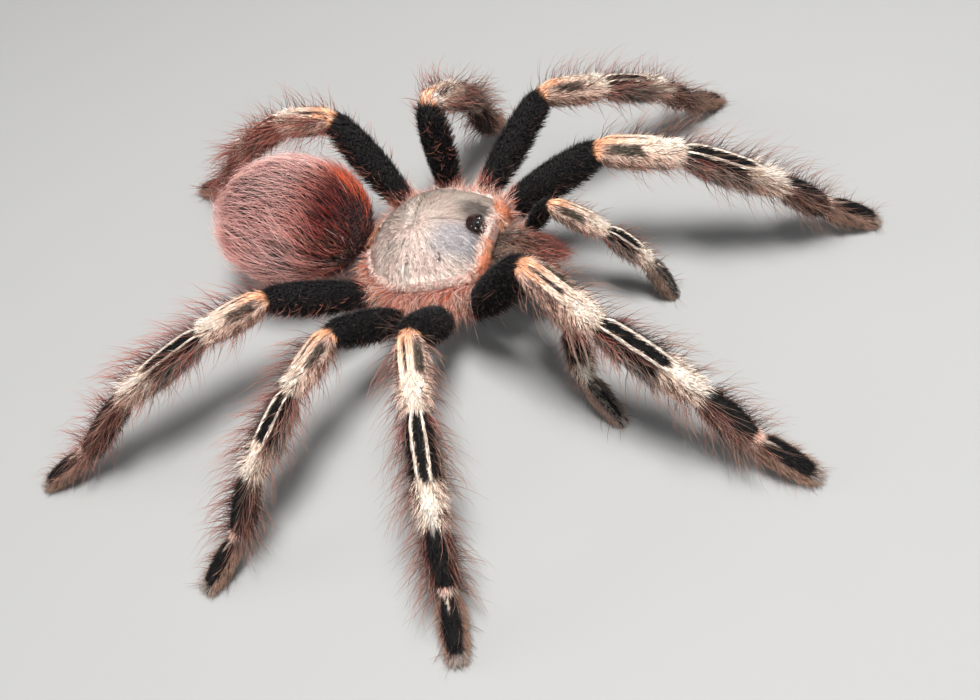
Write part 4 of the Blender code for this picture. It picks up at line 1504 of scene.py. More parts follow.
@dataclass(frozen=True)
class Carapace:
    """The shield over the front body: a domed plate that narrows to the head, with a short flat coat."""

    length: float = 20.4
    half_width: float = 10.3
    dome: float = 5.7
    rim: float = 0.5
    inset: float = 0.4
    outline: tuple = ((-1, 0.2), (-0.9, 0.5), (-0.7, 0.75), (-0.4, 0.95), (-0.1, 1.0), (0.2, 0.96),
                      (0.5, 0.89), (0.75, 0.82), (0.92, 0.77), (1, 0.5))
    profile: tuple = ((-1, 0.2), (-0.8, 0.55), (-0.4, 0.85), (0, 0.98), (0.35, 1.0), (0.7, 0.92), (0.9, 0.70),
                      (0.96, 0.5), (1, 0.12))
    fovea: tuple = (-1.5, 0.0)
    eyes: float = 8.55
    tufts: int = 19500

    def width(self, x: Array) -> Array:
        """Half width of the plate at x, rounded off at both ends."""
        a = x / (self.length / 2)
        past = np.clip((np.abs(a) - 0.95) / 0.05, 0, 1)
        half = (self.half_width - self.inset) * smooth_curve(self.outline, a)
        return half * np.sqrt(np.maximum(1 - past**2, 1e-4))

    def height(self, x: Array, y: Array) -> Array:
        """Top of the plate: dome * profile(x) * (1 - (y / width)^2)^0.425, less the pit.

        Args:
            x: places along it, in the tilted frame.
            y: places across it.
        Returns:
            Heights in the tilted frame.
        """
        a = x / (self.length / 2)
        across = np.clip(np.abs(y) / self.width(x), 0, 1)
        rise = self.dome * smooth_curve(self.profile, a) * (1 - across**2) ** 0.425
        dx, dy = x - self.fovea[0], y - self.fovea[1]
        pit = np.exp(-((dx / 0.7) ** 2 + (dy / 1.2) ** 2))
        return rise - self.inset - 0.25 * pit

    def normal(self, x: Array, y: Array) -> Array:
        """Outward direction of the top, from the slopes between neighbouring heights."""
        step = 0.05
        slope_x = (self.height(x + step, y) - self.height(x - step, y)) / (2 * step)
        slope_y = (self.height(x, y + step) - self.height(x, y - step)) / (2 * step)
        return unit(np.stack([-slope_x, -slope_y, np.ones(np.shape(x))], -1))

    def plate(self) -> Pair:
        """The closed plate: its domed top, a rounded rim and a flat underside.

        Returns:
            Points in the tilted frame and triangles.
        """
        a = np.sin(np.linspace(-math.pi / 2, math.pi / 2, 74))[1:-1]
        x = a * self.length / 2 * 0.985
        turn = np.linspace(0, 2 * math.pi, 96, endpoint=False)
        grid_x, grid_turn = np.meshgrid(x, turn, indexing="ij")
        width = self.width(grid_x)
        y = width * np.cos(grid_turn) * 0.999
        top = self.height(grid_x, y)
        low = -self.rim * np.abs(np.sin(grid_turn)) ** 0.5 - self.inset
        z = np.where(np.sin(grid_turn) > 0, top, low)
        rings = np.stack([grid_x, y, z], -1)
        ends = np.array([[-self.length / 2 * 0.99, 0, -self.inset], [self.length / 2 * 0.99, 0, -self.inset]])
        points, quads = shell(rings, ends[0], ends[1])
        return points, without_doubles(quads)

    def colour(self, x: Array, y: Array) -> Array:
        """Silver beige, with painted shade on the far half, a painted shadow beside the eyes on the far side,
        a painted grey sheen at the front right, and pale at the rim and the front edge.

        Args:
            x: places along it.
            y: places across it, positive on the animal's left.
        Returns:
            (n, 3) colours.
        """
        spots = level(x, y)
        across = np.clip(np.abs(y) / self.width(x), 0, 1)
        angle = np.arctan2(y, x - self.fovea[0])
        far = np.hypot(x - self.fovea[0], y)
        base = blend(PAINT.silver * 1.1, PAINT.blush, np.clip(0.3 + 0.2 * ripple(spots, 2.4, 51), 0, 1))
        # Painted shade: the far half, away from the light, made a little greener and darker.
        base = blend(base, PAINT.moss * 1.5,
                     np.clip(0.22 * ramp(-1.5, 2.5, y) + 0.06 * ripple(spots, 0.9, 52), 0, 1))
        rays = ramp(0.2, 0.9, np.sin(angle * 21 + 0.8 * np.sin(far)))
        rays = rays * ramp(1.2, 3.0, far) * (1 - ramp(0.8, 0.95, across))
        base = blend(base, PAINT.slate, 0.14 * rays * (y < 1.5))
        # Painted sheen: a pale grey highlight over the front of the near (right) half.
        head = ramp(0.6, 4.6, x) * (1 - ramp(0.6, 0.95, across))
        base = blend(base, PAINT.sheen_grey * 1.0, 0.85 * head * ramp(0.6, -1.8, y) * ramp(-7.4, -4.0, y))
        # Painted shadow: slate beside the eye mound on its far side.
        dark = band(5.0, 9.6, 1.3, x) * band(0.8, 4.6, 1.0, y)
        base = blend(base, PAINT.slate, 0.75 * dark)
        line = np.exp(-((y / 0.16) ** 2)) * band(1.0, 7.2, 0.9, x)
        base = blend(base, PAINT.umber, 0.6 * line)
        around = np.hypot(x - self.eyes, y)
        base = blend(base, PAINT.slate * 0.6, 0.8 * (1 - ramp(1.4, 2.3, around)))
        pit = np.exp(-(((x - self.fovea[0]) / 0.7) ** 2 + (y / 1.2) ** 2))
        base = blend(base, PAINT.slate * 0.5, 0.9 * pit)
        rim = ramp(0.86, 0.96, across) * (1 - 0.7 * band(-8.5, -3.0, 0.8, x) * (y < 0))
        base = blend(base, PAINT.white, 0.75 * rim)
        front = ramp(9.0, 9.5, x + 0.05 * np.abs(y)) * (1 - ramp(0.9, 0.99, across))
        return blend(base, blend(PAINT.white, PAINT.blush, 0.35), front * 0.8)

    def build(self, stance: Stance, plate_finish: Material, coat_finish: Material) -> None:
        """Builds the plate and its coat.

        Args:
            stance: turns places into the row frame.
            plate_finish: material of the plate.
            coat_finish: material of the coat.
        """
        points, faces = self.plate()
        item = new_object("carapace_plate", stance.to_row(SHIELD.place(points)), faces, plate_finish)
        add_colour(item, self.colour(points[:, 0], points[:, 1]))
        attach(item, "root")
        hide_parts("carapace")
        self._coat().build(stance, coat_finish, "carapace")

    def unwrap(self, x: Array, y: Array) -> Array:
        """Place on the plate's unwrap, seen square to the plate."""
        return np.stack([0.5 + 0.94 * x / self.length, 0.5 + 0.94 * y / (2 * self.half_width + 1)], -1)

    def _coat(self) -> Coat:
        """Flat hair that flows away from the pit, a pale border, dark specks in rows, orange edge tufts."""
        coat = Coat("coat_carapace", 61)
        rng = coat.rng
        x = rng.uniform(-1, 1, self.tufts * 2) * self.length / 2 * 0.99
        y = rng.uniform(-1, 1, self.tufts * 2) * self.half_width
        keep = (np.abs(y) < self.width(x) * 0.99) & (np.hypot(x - self.eyes, y * 0.8) > 1.1)
        keep &= np.hypot(x - self.fovea[0], y - self.fovea[1]) > 0.45
        x, y = x[keep][:self.tufts], y[keep][:self.tufts]
        self._grow(coat, x, y, 1.2, 0.055, (7.0, 1.5), self.colour(x, y), 0.13)
        self._specks(coat)
        self._border(coat)
        self._edge_tufts(coat)
        return coat

    def _grow(self, coat: Coat, x: Array, y: Array, length: float, width: float, lift: tuple, colour: Array,
              spread: float) -> None:
        """Lays straight hairs on the plate, away from the pit and back.

        Args:
            coat: the coat that takes them.
            x: places along the plate.
            y: places across it.
            length: their mean length.
            width: their width.
            lift: mean and spread of their angle off the plate.
            colour: their colours.
            spread: how much the colours differ.
        """
        rng = coat.rng
        up = self.normal(x, y)
        away = np.stack([x - self.fovea[0], y - self.fovea[1], 0 * x], -1)
        away = away + rng.normal(0, 0.07, away.shape) * np.linalg.norm(away, axis=1)[:, None]
        away[:, :2] += 0.35 * np.stack([ripple(level(x, y), 2.0, seed) for seed in (53, 54)], -1)
        lie = lay(away, up)
        root = np.stack([x, y, self.height(x, y)], -1)
        long = length * rng.uniform(0.7, 1.3, len(x))
        spine = grow(root, lie, up, long,
                     Habit(lift[0] + rng.normal(0, lift[1], len(x)), 0.0, 14.0, stations=2))
        colour = coat.jitter(colour, spread)
        coat.add(Tufts(SHIELD.place(spine), SHIELD.turn(up), width * rng.uniform(0.8, 1.25, len(x)),
                       colour * 0.97, np.clip(colour * 1.04, 0, 1), self.unwrap(x, y), flatness=0.1))

    def _specks(self, coat: Coat) -> None:
        """Dark single hairs, in rows that fan out from the pit, most of them on the right side."""
        rng = coat.rng
        rows = np.radians(rng.choice((-33, -47, -60, -72, -84, -96, -108, -122, -138), 300))
        angle = np.concatenate([rows, np.radians(rng.choice((60, 95, 130), 50))])
        angle = angle + rng.normal(0, 0.03, len(angle))
        far = 1.4 + 7.2 * rng.random(len(angle)) ** 0.8
        x, y = self.fovea[0] + far * np.cos(angle), far * np.sin(angle)
        x = np.concatenate([x, 4.6 + rng.normal(0, 0.35, 30)])
        y = np.concatenate([y, -6.3 + rng.normal(0, 0.4, 30)])
        keep = (np.abs(y) < self.width(x) * 0.88) & (np.abs(x) < self.length * 0.42)
        x, y = x[keep], y[keep]
        self._grow(coat, x, y, 0.5, 0.12, (42.0, 8.0), np.tile(PAINT.soot, (len(x), 1)), 0.2)

    def rim_places(self, count: int, rng: Rng, low: float = -1.0,
                   high: float = 1.0) -> tuple[Array, Array, Array]:
        """Places on the rim, evenly round it, and the level directions out of it.

        Args:
            count: how many.
            rng: random draws.
            low: share of the half length where they start.
            high: share where they end.
        Returns:
            x, y and (n, 3) directions.
        """
        x = np.linspace(low, high, 400) * self.length / 2 * 0.985
        y = self.width(x)
        run = np.concatenate([[0], np.cumsum(np.hypot(np.diff(x), np.diff(y)))])
        x = np.interp(rng.uniform(0, run[-1], count), run, x)
        side = rng.choice((-1.0, 1.0), count)
        slope = (self.width(x + 0.1) - self.width(x - 0.1)) / 0.2
        return x, side * self.width(x), unit(level(-slope, side))

    def _border(self, coat: Coat) -> None:
        """Pale hair that stands out round the rim, pinker on the right side."""
        rng = coat.rng
        x, y, out = self.rim_places(2600, rng)
        count = len(x)
        below = rng.random(count) < 0.5
        inward = np.where(below, rng.uniform(0.05, 0.3, count), rng.uniform(0.02, 0.45, count))
        x, y, _ = np.moveaxis(level(x, y) - out * inward[:, None], -1, 0)
        up = unit(self.normal(x, y) * ~below[:, None] + 0.5 * out + [0, 0, 0.3])
        root = np.stack([x, y, np.where(below, -self.inset - 0.1, self.height(x, y) - 0.03)], -1)
        lie = out + level(-0.4 + 0 * x, 0 * x) + rng.normal(0, 0.25, out.shape)
        lie = lay(lie, up)
        extra = np.clip(ramp(0.0, -6.0, x) + ramp(0.0, 3.0, y), 0, 1)
        habit = Habit(rng.uniform(2, 30, count) + 28 * extra, 0.4, 10.0, 0.1, rng.normal(0, 0.15, count), 3)
        spine = grow(root, lie, up, rng.uniform(0.9, 1.8, count) * (1 + 0.5 * extra), habit)
        pink = np.clip(0.1 + 0.3 * (y < 0) + 0.25 * below + rng.normal(0, 0.2, count), 0, 1)
        front = ramp(8.4, 9.6, x) * np.maximum(ramp(4.0, 5.5, y), 0.8 * ramp(-2.0, -4.5, y))
        colour = blend(blend(PAINT.white, PAINT.salmon, pink), blend(PAINT.orange, PAINT.honey, pink), front)
        colour = coat.jitter(colour, 0.12)
        coat.add(Tufts(SHIELD.place(spine), SHIELD.turn(up), 0.09 * rng.uniform(0.8, 1.2, count),
                       colour * 0.8, np.clip(colour * 1.1, 0, 1), self.unwrap(x, y)))

    def _edge_tufts(self, coat: Coat) -> None:
        """Brushes at the front corners and the rear, and a white strip along the front edge."""
        rng = coat.rng
        half = self.length / 2
        brushes = ((half * 0.95, 6.2, 0.5, 1.0, 380, PAINT.honey, PAINT.orange, (1.4, 2.6), (10, 60)),
                   (half * 0.98, 1.5, 0.2, 4.0, 380, PAINT.blush, PAINT.brick, (0.8, 1.8), (-20, 40)),
                   (half * 0.98, -3.8, 0.25, 2.8, 560, PAINT.honey, PAINT.orange, (0.9, 2.2), (-20, 50)),
                   (half * 0.98, -6.4, 0.3, 1.2, 380, PAINT.orange, PAINT.brick, (0.9, 2.2), (-20, 55)),
                   (-half * 0.97, 0.6, 0.3, 2.0, 260, PAINT.honey, PAINT.brick, (1.2, 2.8), (0, 75)),
                   (half * 0.94, 0.8, 0.2, 4.6, 420, PAINT.white, PAINT.blush, (0.6, 1.3), (4, 30)),
                   (half * 0.94, -4.6, 0.2, 2.8, 300, PAINT.white, PAINT.blush, (0.6, 1.3), (4, 30)))
        for x0, y0, wide_x, wide_y, count, hue, deep, length, lift in brushes:
            x = np.clip(x0 + rng.uniform(-1, 1, count) * wide_x, -half * 0.985, half * 0.985)
            y = y0 + rng.uniform(-1, 1, count) * wide_y
            y = np.clip(y, -self.width(x) * 0.97, self.width(x) * 0.97)
            up = self.normal(x, y)
            aim = unit(np.stack([x - self.fovea[0], y * 0.6, 0 * x], -1))
            out = unit(aim + rng.normal(0, 0.4, (count, 3)))
            lie = lay(out, up)
            root = np.stack([x, y, self.height(x, y) - 0.05], -1)
            habit = Habit(rng.uniform(*lift, count), 0.6, 8.0, 0.1, rng.normal(0, 0.3, count), 3)
            spine = grow(root, lie, up, rng.uniform(*length, count), habit)
            tip = coat.jitter(blend(hue, PAINT.cream, rng.uniform(0, 0.6, count)), 0.15)
            root_hue = coat.jitter(np.tile(deep * 0.6, (count, 1)), 0.25)
            middle = coat.jitter(blend(hue, deep, rng.random(count)), 0.22)
            coat.add(Tufts(SHIELD.place(spine), SHIELD.turn(up), np.full(count, 0.08), root_hue, tip,
                           self.unwrap(x, y), middle))


CARAPACE = Carapace()


@dataclass(frozen=True)
class Skirt:
    """The tangled salmon hair that stands out from under the carapace's rim, all round."""

    strands: int = 4900
    length: tuple = (2.0, 4.4)

    def build(self, stance: Stance, material: Material) -> Item:
        """Grows the strands, in clumps that lean the same way.

        Args:
            stance: turns places into the row frame.
            material: the coat's finish.
        Returns:
            The piece.
        """
        coat = Coat("coat_skirt", 71)
        rng = coat.rng
        count = self.strands
        x, y, out = CARAPACE.rim_places(count, rng, -1.0, 0.96)
        depth = rng.uniform(0.5, 3.6, count)
        up = np.tile([0, 0, 1.0], (count, 1))
        root = np.stack([x, y, -depth], -1) + out * (0.1 - 0.2 * depth)[:, None]
        clump = np.stack([ripple(root, 1.5, seed) for seed in (72, 73, 74)], -1)
        back = level(-0.35 + 0 * x, 0 * x)
        lie = unit(out + back + 0.45 * clump + rng.normal(0, 0.3, (count, 3)))
        length = rng.uniform(*self.length, count)
        habit = Habit(rng.uniform(-5, 60, count) + 18 * clump[:, 2], rng.uniform(0.3, 1.4, count), 12.0, 0.08,
                      0.4 * clump[:, 0] + rng.normal(0, 0.32, count), 5)
        spine = grow(root, lie, up, length, habit)
        warm = np.clip(0.5 + 0.5 * ripple(root, 2.2, 75) + rng.normal(0, 0.25, count), 0, 1)
        left = ramp(-1.5, 1.5, y) * ramp(-8.0, -2.0, x)
        light = rng.random(count) < 0.45 + 0.25 * left
        tip = np.where(light[:, None], blend(PAINT.white, PAINT.blush, rng.random(count)),
                       blend(PAINT.honey, PAINT.salmon, rng.random(count)))
        middle = np.where(light[:, None], blend(PAINT.blush, PAINT.salmon, warm),
                          blend(PAINT.brick, PAINT.orange, warm))
        base = blend(PAINT.maroon, PAINT.brick, rng.random(count))
        width = 0.105 * rng.uniform(0.8, 1.25, count)
        coat.add(Tufts(SHIELD.place(spine), SHIELD.turn(up), width, coat.jitter(base, 0.2),
                       coat.jitter(tip, 0.14), np.clip(CARAPACE.unwrap(x, y), 0.01, 0.99),
                       coat.jitter(middle, 0.22), taper=1.3))
        return coat.build(stance, material, "underside")


# --- eyes and jaws


@dataclass(frozen=True)
class Eyes:
    """The eye mound near the front edge, with its eight round eyes and the bristles round it."""

    centre: tuple = (8.55, 0.0, 4.0)
    radii: tuple = (1.05, 1.4, 1.0)
    # The eyes of one side: heading from straight ahead, height above level, radius.
    eyes: tuple = ((22, 38, 0.42), (62, 12, 0.34), (95, 38, 0.24), (118, 8, 0.3))

    def build(self, stance: Stance, mound_finish: Material, eye_finish: Material,
              coat_finish: Material) -> None:
        """Builds the mound, the eyes and the bristles.

        Args:
            stance: turns places into the row frame.
            mound_finish: material of the mound.
            eye_finish: material of the eyes.
            coat_finish: material of the bristles.
        """
        points, quads = egg(np.array(self.centre), np.array(self.radii) - 0.22, 24, 36)
        mound = new_object("eye_mound", stance.to_row(SHIELD.place(points)), without_doubles(quads),
                           mound_finish)
        points, faces = joined([egg(seat, np.full(3, radius), 14, 20) for seat, radius in self._seats()])
        eyes = new_object("eyes", stance.to_row(SHIELD.place(points)), faces, eye_finish)
        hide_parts("eye_tubercle")
        for item in (mound, eyes):
            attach(item, "root")
        self._bristles(stance, coat_finish)

    def _seats(self) -> list[tuple[Array, float]]:
        """Middles and radii of the eyes, on the mound's surface at their headings."""
        seats = []
        for side in (-1, 1):
            for yaw, pitch, radius in self.eyes:
                yaw, pitch = math.radians(yaw), math.radians(pitch)
                way = np.array([math.cos(pitch) * math.cos(yaw), side * math.cos(pitch) * math.sin(yaw),
                                math.sin(pitch)])
                seats.append((np.array(self.centre) + np.array(self.radii) * way * 0.97, radius))
        return seats

    def _bristles(self, stance: Stance, material: Material) -> Item:
        """Short hair on the mound and curved maroon bristles round its foot, leaning over it.

        Args:
            stance: turns places into the row frame.
            material: the coat's finish.
        Returns:
            The piece.
        """
        coat = Coat("coat_eye_mound", 81)
        rng = coat.rng
        count = 800
        angle = rng.uniform(0, 2 * math.pi, count)
        reach = rng.uniform(0.75, 1.25, count)
        x = self.centre[0] + self.radii[0] * reach * np.cos(angle)
        y = self.radii[1] * reach * np.sin(angle)
        root = np.stack([x, y, CARAPACE.height(x, y) - 0.05], -1)
        up = np.tile([0, 0, 1.0], (count, 1))
        inward = unit(level(self.centre[0] - x, -y) + rng.normal(0, 0.5, (count, 3)) * (1, 1, 0))
        habit = Habit(rng.uniform(48, 88, count), 0.6, 4.0, 0.0, rng.normal(0, 0.2, count), 4)
        spine = grow(root, inward, up, rng.uniform(0.5, 1.35, count), habit)
        far = ramp(0.3, 1.2, y)
        colour = coat.jitter(blend(PAINT.black, PAINT.maroon, 0.6 * rng.random(count)), 0.2)
        tip = coat.jitter(blend(PAINT.black * 1.5, PAINT.salmon,
                                (0.15 + 0.85 * far) * rng.random(count) ** 2), 0.2)
        place = np.stack([0.5 + 0.2 * (x - self.centre[0]), 0.5 + 0.2 * y], -1)
        coat.add(Tufts(SHIELD.place(spine), SHIELD.turn(up), np.full(count, 0.07), colour, tip, place))
        return coat.build(stance, material, "carapace")


@dataclass(frozen=True)
class Jaws:
    """The two chelicerae in front of the carapace, each an egg that droops, with brown and maroon hair."""

    centre: tuple = (12.9, 2.15, -2.5)
    radii: tuple = (5.4, 1.95, 2.8)
    droop: float = 12.0
    depth: float = 0.5

    def _turn(self) -> Array:
        """The droop's turn about the y axis."""
        return turn_about_y(math.radians(self.droop))

    def skin(self, side: int) -> Pair:
        """One jaw's egg, less the coat's depth, in the animal's frame.

        Args:
            side: 1 on the left, -1 on the right.
        Returns:
            Points and faces as shell gives them.
        """
        points, faces = egg(np.zeros(3), np.array(self.radii) - self.depth, 26, 36)
        return PROSOMA.place(points @ self._turn().T + np.array(self.centre) * (1, side, 1)), faces

    @staticmethod
    def ground(spots: Array) -> Array:
        """Colour of the jaws' skin and short hair."""
        return blend(PAINT.soot, PAINT.slate, np.clip(0.5 + 0.5 * ripple(spots, 2.0, 91), 0, 1))

    def build(self, stance: Stance, material: Material) -> Item:
        """Short grey hair over the jaws, and long maroon hair that reaches forward.

        Args:
            stance: turns places into the row frame.
            material: the coat's finish.
        Returns:
            The piece.
        """
        coat = Coat("coat_chelicerae", 92)
        rng = coat.rng
        for side in (-1, 1):
            for count, length, width, lift, long in ((1700, (0.9, 1.8), 0.12, (24, 52), False),
                                                     (1400, (2.2, 4.6), 0.09, (20, 58), True)):
                ways = Abdomen.spread(rng, count)
                radii = np.array(self.radii) - self.depth
                up = unit(ways / radii)
                sweep = np.array([1.0, 0.12 * side, 0.0])
                flat = sweep - (up @ sweep)[:, None] * up
                share = np.linalg.norm(flat, axis=1)
                root = ways * radii * 0.98
                lie = unit(flat + rng.normal(0, 0.18, flat.shape))
                angle = rng.uniform(*lift, count) + 30 * (1 - share) ** 2
                habit = Habit(angle, rng.uniform(0.2, 0.8, count), 8.0, 0.1, rng.normal(0, 0.12, count),
                              4 if long else 3)
                spine = grow(root, lie, up, rng.uniform(*length, count), habit)
                spine = spine @ self._turn().T + np.array(self.centre) * (1, side, 1)
                spine, up = PROSOMA.place(spine), PROSOMA.turn(up @ self._turn().T)
                base = self.ground(spine[:, 0])
                if long:
                    red = ramp(-0.9, 0.3, ways[:, 0] + rng.normal(0, 0.4, count))
                    tip = blend(PAINT.tan, blend(PAINT.brick, PAINT.salmon, rng.random(count)), red)
                    middle = blend(PAINT.umber,
                                   blend(PAINT.maroon * 0.7, PAINT.brick, rng.random(count) ** 1.5), red)
                else:
                    tip = blend(PAINT.ash, PAINT.tan, rng.uniform(0, 0.6, count))
                    middle = blend(base, PAINT.ash, rng.uniform(0.2, 0.7, count))
                place = Abdomen.unwrap(ways) * (0.48, 1) + (0.0 if side < 0 else 0.5, 0)
                coat.add(Tufts(spine, up, width * rng.uniform(0.8, 1.2, count), coat.jitter(base * 0.6, 0.3),
                               coat.jitter(tip, 0.3), place, coat.jitter(middle, 0.35)))
        return coat.build(stance, material, "chelicera")


JAWS = Jaws()


# --- underside


@dataclass(frozen=True)
class Underside:
    """The sternum's plate and the waist."""

    centre: tuple = (-1.4, 0.0, -3.9)
    radii: tuple = (8.4, 7.2, 2.9)
    depth: float = 0.5
    waist_height: float = 10.9
    waist_radius: float = 1.3

    def skin(self) -> Pair:
        """The sternum's egg, in the animal's frame."""
        points, faces = egg(np.array(self.centre), np.array(self.radii) - self.depth)
        return PROSOMA.place(points), faces

    def waist(self) -> Pair:
        """A short level tube from the sternum to the abdomen."""
        return egg(np.array([-10.0, 0, self.waist_height]),
                   np.array([5.0, self.waist_radius, self.waist_radius]), 20, 24)

    def build(self, stance: Stance, material: Material) -> Item:
        """Short dark hair under the sternum and over the filled space between the hips.

        Args:
            stance: turns places into the row frame.
            material: the coat's finish.
        Returns:
            The piece.
        """
        coat = Coat("coat_sternum", 95)
        rng = coat.rng
        ways = Abdomen.spread(rng, 2400)
        radii = np.array(self.radii) - self.depth
        up = unit(ways / radii)
        sweep = np.array([-1.0, 0.0, 0.0])
        lie = unit(sweep - (up @ sweep)[:, None] * up + rng.normal(0, 0.12, up.shape))
        root = ways * radii * 0.99 + np.array(self.centre)
        count = len(ways)
        spine = grow(root, lie, up, rng.uniform(1.3, 2.3, count), Habit(rng.uniform(20, 40, count), 0.4, 8.0))
        below = ways[:, 2] < 0.1
        tip = np.where(below[:, None], PAINT.slate, PAINT.brick)
        base = np.where(below[:, None], PAINT.black, PAINT.maroon)
        coat.add(Tufts(PROSOMA.place(spine), PROSOMA.turn(up), 0.24 * rng.uniform(0.8, 1.2, count),
                       coat.jitter(base, 0.2), coat.jitter(tip, 0.2), Abdomen.unwrap(ways)))
        return coat.build(stance, material, "underside")


UNDERSIDE = Underside()


# --- the skin


# Points that are compared with a limb's line at one time.
PAINT_BATCH = 8000


@dataclass(frozen=True)
class Skin:
    """One closed skin for all the flesh: every form joined, eased where they meet, and coloured."""

    voxel: float = 0.4
    easing: int = 4

    def build(self, forms: list[LimbForm], stance: Stance, material: Material) -> Item:
        """Joins the shells, makes one surface of them and paints it.

        Args:
            forms: the limbs.
            stance: turns places into the row frame.
            material: the skin's finish.
        Returns:
            The piece.
        """
        shells = [form.tube() for form in forms]
        shells += [ABDOMEN.skin(), ABDOMEN.spinneret(-1), ABDOMEN.spinneret(1), UNDERSIDE.skin(),
                   UNDERSIDE.waist(), JAWS.skin(-1), JAWS.skin(1), self._filling()]
        points, faces = self._one_surface(*joined(shells))
        points[:, 2] = np.maximum(points[:, 2], 0.0)
        item = new_object("skin", stance.to_row(points), faces, material)
        add_colour(item, self._paint(points, forms))
        nodes = [node for form in forms for node in form.limb.nodes]
        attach(item, "root")
        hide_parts(*nodes, "abdomen", "spinneret_left", "spinneret_right", "sternum_and_coxae",
                    "chelicera_left", "chelicera_right")
        LOG.info("skin: %d triangles", len(faces) * 2)
        return item

    @staticmethod
    def _filling() -> Pair:
        """The soft side of the front body, between the carapace and the hips."""
        points, faces = egg(np.array([0.3, 0, -1.9]), np.array([8.4, 7.6, 1.7]))
        return SHIELD.place(points), faces

    def _one_surface(self, points: Array, faces: Array) -> Pair:
        """A surface of even squares round all the shells, eased a few times.

        Args:
            points: the shells' points, in millimetres.
            faces: their triangles.
        Returns:
            The new points and quads.
        """
        rough = new_object("rough_skin", points, faces)
        remesh = rough.modifiers.new("one_surface", "REMESH")
        remesh.mode = "VOXEL"
        remesh.voxel_size = self.voxel
        ease = rough.modifiers.new("ease", "SMOOTH")
        ease.factor = 0.5
        ease.iterations = self.easing
        mesh = bpy.data.meshes.new_from_object(rough.evaluated_get(bpy.context.evaluated_depsgraph_get()))
        points = np.empty(len(mesh.vertices) * 3, np.float32)
        mesh.vertices.foreach_get("co", points)
        faces = np.empty(len(mesh.loops), np.int32)
        mesh.loops.foreach_get("vertex_index", faces)
        bpy.data.objects.remove(rough, do_unlink=True)
        bpy.data.meshes.remove(mesh)
        return points.reshape(-1, 3).astype(float), faces.reshape(-1, 4)

    @staticmethod
    def _paint(points: Array, forms: list[LimbForm]) -> Array:
        """Each point takes the colour of the form whose surface is nearest.

        Args:
            points: the skin's points, in the animal's frame.
            forms: the limbs.
        Returns:
            (n, 3) colours.
        """
        egg_way = unit((points - np.array(ABDOMEN.centre)) / np.array(ABDOMEN.radii))
        colours = blend(PAINT.maroon, PAINT.brick, np.clip(0.5 + 0.5 * ripple(points, 2.0, 97), 0, 1))
        body = PROSOMA.centre[2] - 4.2
        colours = blend(colours, PAINT.soot, 1 - ramp(body - 1.0, body + 1.0, points[:, 2]))
        hind = points[:, 0] < -11.6
        colours[hind] = ABDOMEN.ground(egg_way[hind], points[hind])
        best = np.full(len(points), 0.45)
        for form in forms:
            line, where, radius = form.line[::4], form.s[::4], form.radius[::4]
            gap = np.full(len(points), 1e9)
            nearest = np.zeros(len(points), int)
            for start in range(0, len(points), PAINT_BATCH):
                part = slice(start, start + PAINT_BATCH)
                far = np.linalg.norm(points[part, None] - line[None], axis=2) - radius[None]
                nearest[part] = far.argmin(1)
                gap[part] = far.min(1)
            mine = gap < best
            best = np.where(mine, gap, best)
            offset = points - line[nearest]
            phi = np.arctan2((offset * form.front[::4][nearest]).sum(1),
                             (offset * form.top[::4][nearest]).sum(1))
            number, share = form.locate(where[nearest])
            for index, segment in enumerate((Segment.COXA, *form.limb.segments)):
                here = mine & (number == index)
                colours[here] = Markings.colour(segment, share[here], phi[here], points[here])
        jaw = (points[:, 0] > 8.0) & (np.abs(points[:, 1]) < 4.2) & (best > 0.4) & (points[:, 2] > 5)
        colours[jaw] = JAWS.ground(points[jaw])
        return colours * 0.8


# --- claws


@dataclass(frozen=True)
class Claws:
    """Two small hooks at the end of every toe."""

    length: float = 1.7
    radius: float = 0.2
    spread: float = 0.5

    def build(self, forms: list[LimbForm], stance: Stance, material: Material) -> Item:
        """Sweeps a thinning ring along a quarter turn that bends down, twice for each toe.

        Args:
            forms: the limbs.
            stance: turns places into the row frame.
            material: the claws' finish.
        Returns:
            The piece.
        """
        t = np.linspace(0, 1, 7)[:, None]
        claws = []
        for form in forms:
            way = form.along[-1]
            ahead = unit(way * (1, 1, 0))
            across = np.cross(ahead, [0, 0, 1.0])
            for side in (-1, 1):
                root = form.line[-1] - way * 0.75 + across * side * self.spread + np.array([0, 0, 0.45])
                line = root + self.length * (ahead * np.sin(t * 1.35) * 0.8
                                             - np.array([0, 0, 1.0]) * (1 - np.cos(t * 1.35)) * 0.75)
                line[:, 2] = np.maximum(line[:, 2], 0.1)
                along = unit(np.gradient(line, axis=0))
                sideways = np.tile(across, (7, 1))
                rings = sweep(line, self.radius * (1 - 0.85 * t[:, 0]), sideways,
                              np.cross(along, sideways), 8)
                claws.append(shell(rings, line[0], line[-1] + along[-1] * 0.08))
        points, faces = joined(claws)
        points[:, 2] = np.maximum(points[:, 2], FLOOR_GAP)
        item = new_object("claws", stance.to_row(points), faces, material)
        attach(item, "root")
        return item


# --- finishes


